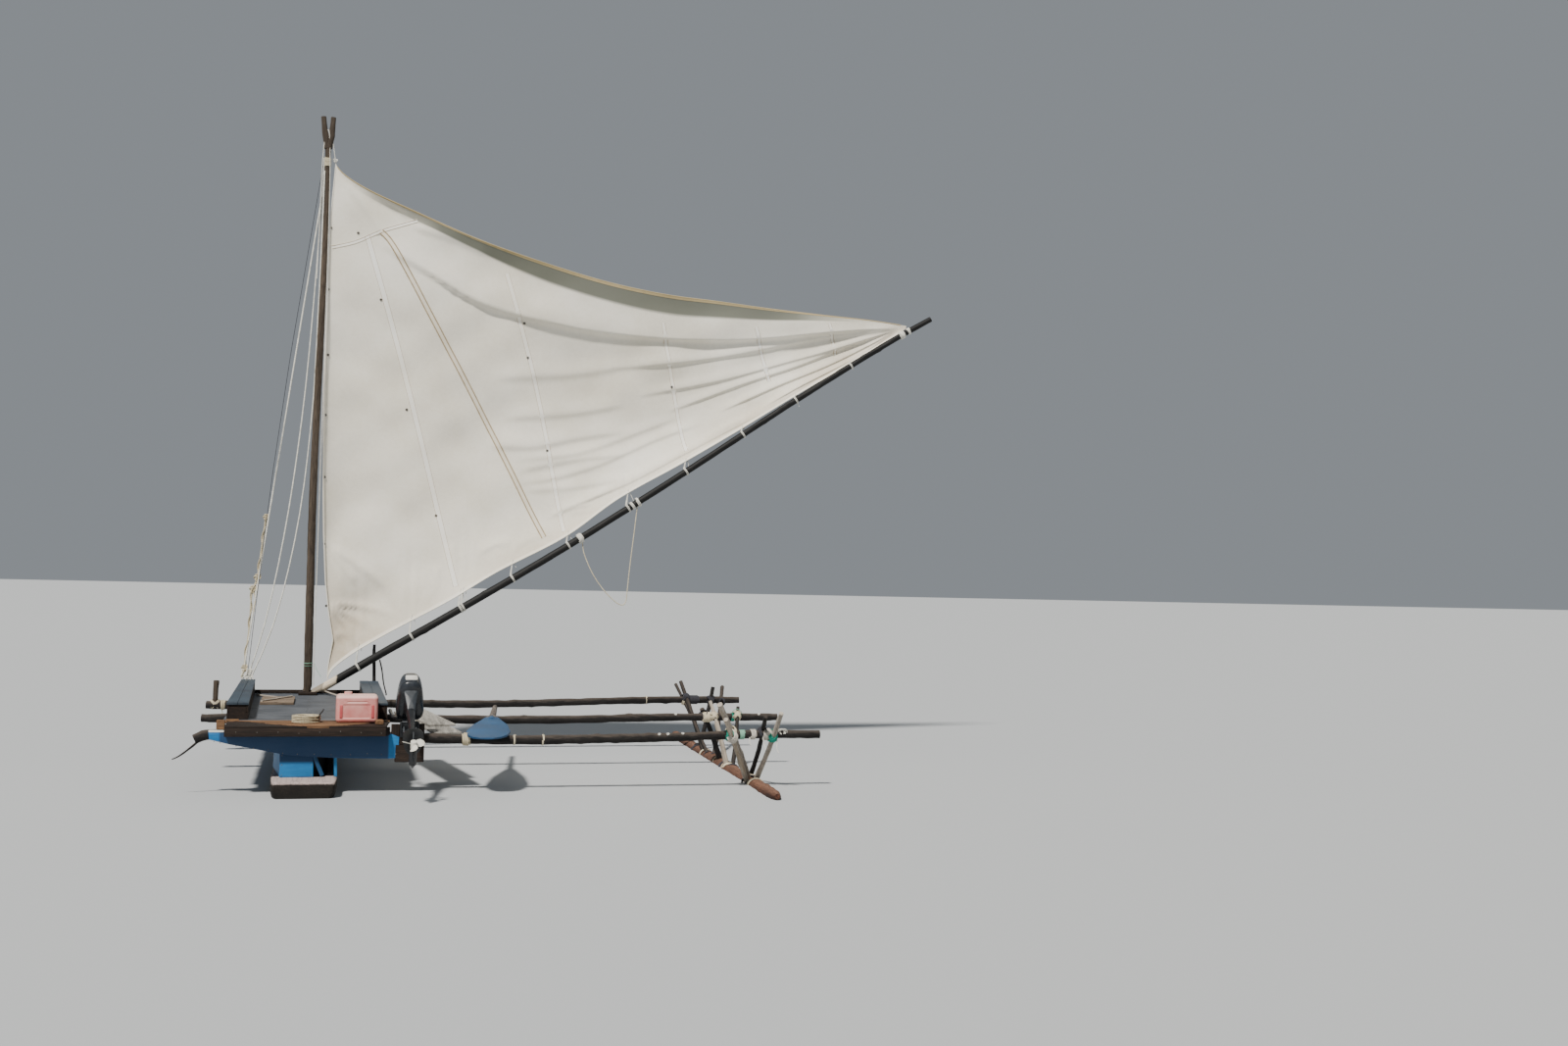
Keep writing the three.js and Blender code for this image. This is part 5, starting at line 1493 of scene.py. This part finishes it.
def finished(name, mesh, material, body, node, sharp=35):
    """An object that stands in for a node, with its grain along its longest side."""
    points = corners_of(mesh)
    order = np.argsort(np.ptp(points, axis=0))
    carried = mesh.attributes.new("grain", "FLOAT_VECTOR", "POINT")
    carried.data.foreach_set("vector", (points[:, order] + points.mean()).astype(np.float32).ravel())
    mesh.polygons.foreach_set("use_smooth", np.ones(len(mesh.polygons), bool))
    mesh.set_sharp_from_angle(angle=math.radians(sharp))
    mesh.materials.clear()
    mesh.materials.append(material)
    thing = bpy.data.objects.new(name, mesh)
    thing.matrix_world = NODES[node].matrix_world
    bpy.context.scene.collection.objects.link(thing)
    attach(thing, body)
    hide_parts(node)
    return thing


BLADE_END = -2.72  # the oar's paint stops here, and its bare loom starts
EDGE_AFT = -4.149  # worn flush with the boards below it


for node, material, width, body in COPIES:
    mesh = softened(node, width)
    if node == "deck_edge_plank":
        points = corners_of(mesh)
        points[:, 1] = np.maximum(points[:, 1], EDGE_AFT)
        mesh.vertices.foreach_set("co", points.ravel())
    thing = finished(node + "_finished", mesh, material, body, node)
    if node == "steering_oar":
        mesh.materials.append(OAR_HANDLE)
        for face in mesh.polygons:
            face.material_index = int(face.center.y > BLADE_END)


HULL_CELL = 0.02  # the size of the cells that the log is shaped from, in metres


def make_hull():
    """The dugout, hewn: the log's skin in shallow adze cuts, rounder at its edges."""
    source = bpy.data.objects.new("hull_source", softened("hull_dugout", 26))
    bpy.context.scene.collection.objects.link(source)
    remesh = source.modifiers.new("even", "REMESH")
    remesh.mode, remesh.voxel_size = "VOXEL", HULL_CELL
    shaped = bpy.data.meshes.new_from_object(source.evaluated_get(bpy.context.evaluated_depsgraph_get()))
    bpy.data.objects.remove(source)
    points = np.empty(len(shaped.vertices) * 3, np.float32)
    normals = points.copy()
    shaped.vertices.foreach_get("co", points)
    shaped.vertices.foreach_get("normal", normals)
    points, normals = points.reshape(-1, 3), normals.reshape(-1, 3)
    x, y, z = points.T
    row = np.floor((z + 0.4 * np.abs(x)) / 0.055)
    phase = y / 0.11 + row * 0.37 + 0.25 * np.sin(row * 2.1)
    cut = -0.0035 * (1 - np.abs(2 * (phase - np.floor(phase)) - 1) ** 2)
    slow = 0.003 * np.sin(y * 2.3 + 4 * x) * np.sin(y * 0.9 + z * 5)
    points += normals * (cut + slow)[:, None]
    shaped.vertices.foreach_set("co", points.ravel())
    finished("hull_hewn", shaped, HULL_WOOD, "root", "hull_dugout", sharp=60)


make_hull()

# Motor: its cowl, plates and small fittings, drawn upright about the tilt pin and tilted up
TILT = math.radians(65)
MOTOR_AT = np.array([870, -4070, 620], float)
COWL = [
    # z, front y, rear y, front half width, rear half width, in mm
    (86, 8, -298, 100, 70),
    (96, 26, -312, 113, 79),
    (112, 49, -331, 129, 90),
    (150, 60, -337, 132, 92),
    (210, 72, -343, 134, 92),
    (262, 68, -337, 130, 89),
    (300, 56, -322, 122, 84),
    (322, 34, -296, 108, 72),
    (329, 4, -256, 80, 52),
]


def tilted(p):
    """Points from the upright motor, in mm, to where they are on the boat, in metres."""
    p = np.asarray(p, float)
    x, y, z = p[..., 0], p[..., 1], p[..., 2]
    c, s = math.cos(TILT), math.sin(TILT)
    return (np.stack([x, y * c + z * s, z * c - y * s], axis=-1) + MOTOR_AT) * MM


def pod(rows, sides=64, square=0.6, grow=0.0):
    """A closed pod from level rings, squarer at its corners than an ellipse."""
    z = [r[0] for r in rows]
    fine = np.linspace(z[0], z[-1], 34 if z[-1] - z[0] > 20 else 3)
    table = np.array([[np.interp(f, z, [r[k] for r in rows]) for k in range(1, 5)] for f in fine])
    t = np.linspace(0, TURN, sides, endpoint=False)
    s = np.sign(np.sin(t)) * np.abs(np.sin(t)) ** square
    c = np.sign(np.cos(t)) * np.abs(np.cos(t)) ** square
    rings = []
    for level, (front, rear, half, rear_half) in zip(fine, table):
        y = (front + rear) / 2 + ((front - rear) / 2 + grow) * s
        share = np.clip((y - rear) / (front - rear), 0, 1)
        rings.append(np.stack([c * (rear_half + (half - rear_half) * share + grow), y, level + 0 * y], axis=1))
    points = np.concatenate(rings + [rings[0].mean(0)[None], rings[-1].mean(0)[None]])
    faces = []
    for k in range(len(rings) - 1):
        for i in range(sides):
            j = (i + 1) % sides
            faces.append((k * sides + i, k * sides + j, (k + 1) * sides + j, (k + 1) * sides + i))
    low, high, end = len(rings) * sides, len(rings) * sides + 1, (len(rings) - 1) * sides
    for i in range(sides):
        j = (i + 1) % sides
        faces += [(low, j, i), (high, end + i, end + j)]
    points = tilted(points)
    return points, faces, points


def plate(corners, depth):
    """A four-cornered plate in the upright motor's mm, thickened along depth, its corners rounded."""
    corners, depth = np.asarray(corners, float), np.asarray(depth, float)
    middle = corners.mean(0)
    ring = []
    for k in range(4):
        here, back, ahead = corners[k], corners[k - 1], corners[(k + 1) % 4]
        r = 0.16 * min(np.linalg.norm(here - back), np.linalg.norm(ahead - here))
        for t in np.linspace(0, 1, 5):
            a, b = here + unit(back - here) * r, here + unit(ahead - here) * r
            ring.append((1 - t) ** 2 * a + 2 * t * (1 - t) * here + t * t * b)
    ring = np.array(ring)
    inner = middle + (ring - middle) * 0.95
    points = np.concatenate([ring - depth, ring + depth * 0.5, inner + depth, [middle - depth, middle + depth]])
    n = len(ring)
    faces = []
    for layer in range(2):
        for i in range(n):
            j = (i + 1) % n
            faces.append((layer * n + i, layer * n + j, (layer + 1) * n + j, (layer + 1) * n + i))
    for i in range(n):
        j = (i + 1) % n
        faces += [(3 * n, j, i), (3 * n + 1, 2 * n + i, 2 * n + j)]
    points = tilted(points)
    return points, faces, points


def motor_rod(points, radius, sides=16, profile=None, flat=1.0):
    return sweep(tilted(even_path(np.asarray(points, float), 6)), np.asarray(radius) * MM, sides, profile, flat=flat)


def make_motor():
    made("cowl_shell", [pod(COWL)], COWL_BLACK, "motor_steering", "motor_cowl")
    seam = [(122, 52, -333, 130, 91), (128, 53, -334, 130.5, 91.5)]
    made("cowl_seam", [pod(seam, grow=1.2)], GRIP_RUBBER, "motor_steering")
    made("cowl_plate", [plate([(-46, -343, 212), (54, -343, 212), (56, -341, 142), (-48, -341, 142)], (0, -4, 0))],
         PLATE_WHITE, "motor_steering")
    grey = [(-60, -262, 80), (60, -262, 80), (30, -176, -92), (-30, -176, -92)]
    made("leg_insert", [plate(grey, (0, -7, 5))], PLATE_GREY, "motor_steering")
    ring = [(-23 + 14 * math.cos(a), -251, -560 + 14 * math.sin(a)) for a in np.linspace(0, TURN, 25)]
    fittings = [motor_rod(ring, 4.5, 10), motor_rod([(0, -262, -606), (0, -150, -606)], 7, 12)]
    made("leg_ring", fittings, ALLOY, "motor_steering")
    wing = [(z, -40, -292, 62, 100) for z in (-611.5, -600.5)]
    made("leg_wing_plate", [pod(wing, 40, 0.8)], ENAMEL, "motor_steering")


make_motor()

CLAMP_BITS = [
    # ends in mm and radius: the clamp's two screws and the bars that turn them
    ((818, -4100, 560), (818, -4020, 560), 9),
    ((818, -4104, 536), (818, -4104, 584), 5),
    ((922, -4100, 560), (922, -4020, 560), 9),
    ((922, -4104, 540), (922, -4104, 580), 5),
]


def make_fittings():
    parts = []
    for a, b, r in CLAMP_BITS:
        parts.append(sweep(straight(a, b, 0.008), r * MM, 14))
    made("clamp_screws", parts, ALLOY, "root")
    trim = [block((-726, -4012, 556), (-657, -3950, 632), 4), block((584, -4030, 594.4), (646, -3966, 636), 5, turn=12),
            block((-668, -3694, 600.4), (-560, -3664, 611), 2, turn=3)]
    bracket = [block((752, -4017, 268), (1000, -3978, 423), 5), block((716, -4014, 500), (787, -3980, 598), 4),
               block((752, -4016, 425), (787, -3980, 500), 4)]
    made("motor_bracket_boards", bracket, DARK_BOARD, "root")
    made("tan_trim_blocks", trim, EDGE_PLANK, "root")
    batten = block((-786, -4018.6, 531), (-662, -3994, 549), 2)
    made("panel_battens", [batten], WHITE_EDGE, "root")
    # painted shade: the brace takes the navy paint instead of the blue boards' paint, standing in for the shade it lies
    # in
    brace = [sweep(straight((78, -3984, 326), (150, -3984, 156), 0.03), 0.017, 4, flat=0.8)]
    made("riser_brace", brace, NAVY_PAINT_AND_BRACE_SHADE, "root")
    nails = []
    draw = np.random.default_rng(21)
    for x in list(range(-560, 640, 170)):
        nails.append(nail((x, -4151, 540 + draw.uniform(-9, 9)), (0, -1, 0), 4))
    for x in (-740, -690, -560, -420, -300, -180, -60, 80, 220, 380, 520, 640, 760):
        low = 300 + (0 if x > -95 else (-95 - x) * 0.17)
        nails.append(nail((x, -4017, low + 40 + draw.uniform(-5, 5)), (0, -1, 0), 4.5))
    for x, z in ((-186, 160), (-186, 250), (60, 160), (60, 250), (-186, 330), (50, 330)):
        nails.append(nail((x, -3992.6, z), (0, -1, 0), 4.5))
    made("plank_nails", nails, ZINC, "root")


make_fittings()


# Stage: a plain pale floor at the waterline and soft light from behind the left shoulder
FLOOR_SIZE = 160  # metres from the middle to each side
FLOOR_GREY = "#B6B9BB"
SKY, SKY_STRENGTH = "#C4CBD2", 0.45
SUN_STRENGTH, SUN_WIDTH = 5.4, math.radians(5)
SUN_COLOUR = (1.0, 0.96, 0.9)
LIGHT_TRAVELS = (0.42, 0.65, -1.0)
FLOOR_OPENING = [
    # y and half width in metres: the floor is open inside the log's walls, so that its hollow stays empty
    (-4.0, 0.200), (-3.7, 0.225), (1.6, 0.225), (2.7, 0.195), (3.29, 0.135),
]


def make_stage():
    size = FLOOR_SIZE
    rows = [(-size, FLOOR_OPENING[0][1]), *FLOOR_OPENING, (size, FLOOR_OPENING[-1][1])]
    points = [(x, y, 0) for y, half in rows for x in (-size, -half, half, size)]
    faces = []
    for k in range(len(rows) - 1):
        for column in (0, 1, 2):
            if column != 1 or k in (0, len(rows) - 2):
                a = 4 * k + column
                faces.append((a, a + 1, a + 5, a + 4))
    mesh = bpy.data.meshes.new("floor")
    mesh.from_pydata(points, [], faces)
    floor = bpy.data.objects.new("floor", mesh)
    pale, _, shader = begin("plain_pale_floor")
    fixed(shader, Roughness=0.9, Specular_IOR_Level=0.1)
    shader.inputs["Base Color"].default_value = linear(FLOOR_GREY)
    mesh.materials.append(pale)
    bpy.context.scene.collection.objects.link(floor)
    world = bpy.data.worlds.new("soft_studio")
    world.use_nodes = True
    background = world.node_tree.nodes["Background"]
    background.inputs[0].default_value = linear(SKY)
    background.inputs[1].default_value = SKY_STRENGTH
    bpy.context.scene.world = world
    lamp = bpy.data.lights.new("key", "SUN")
    lamp.energy = SUN_STRENGTH
    lamp.angle = SUN_WIDTH
    lamp.color = SUN_COLOUR
    key = bpy.data.objects.new("key", lamp)
    key.rotation_mode = "QUATERNION"
    key.rotation_quaternion = Vector(LIGHT_TRAVELS).to_track_quat("-Z", "Y")
    bpy.context.scene.collection.objects.link(key)


make_stage()
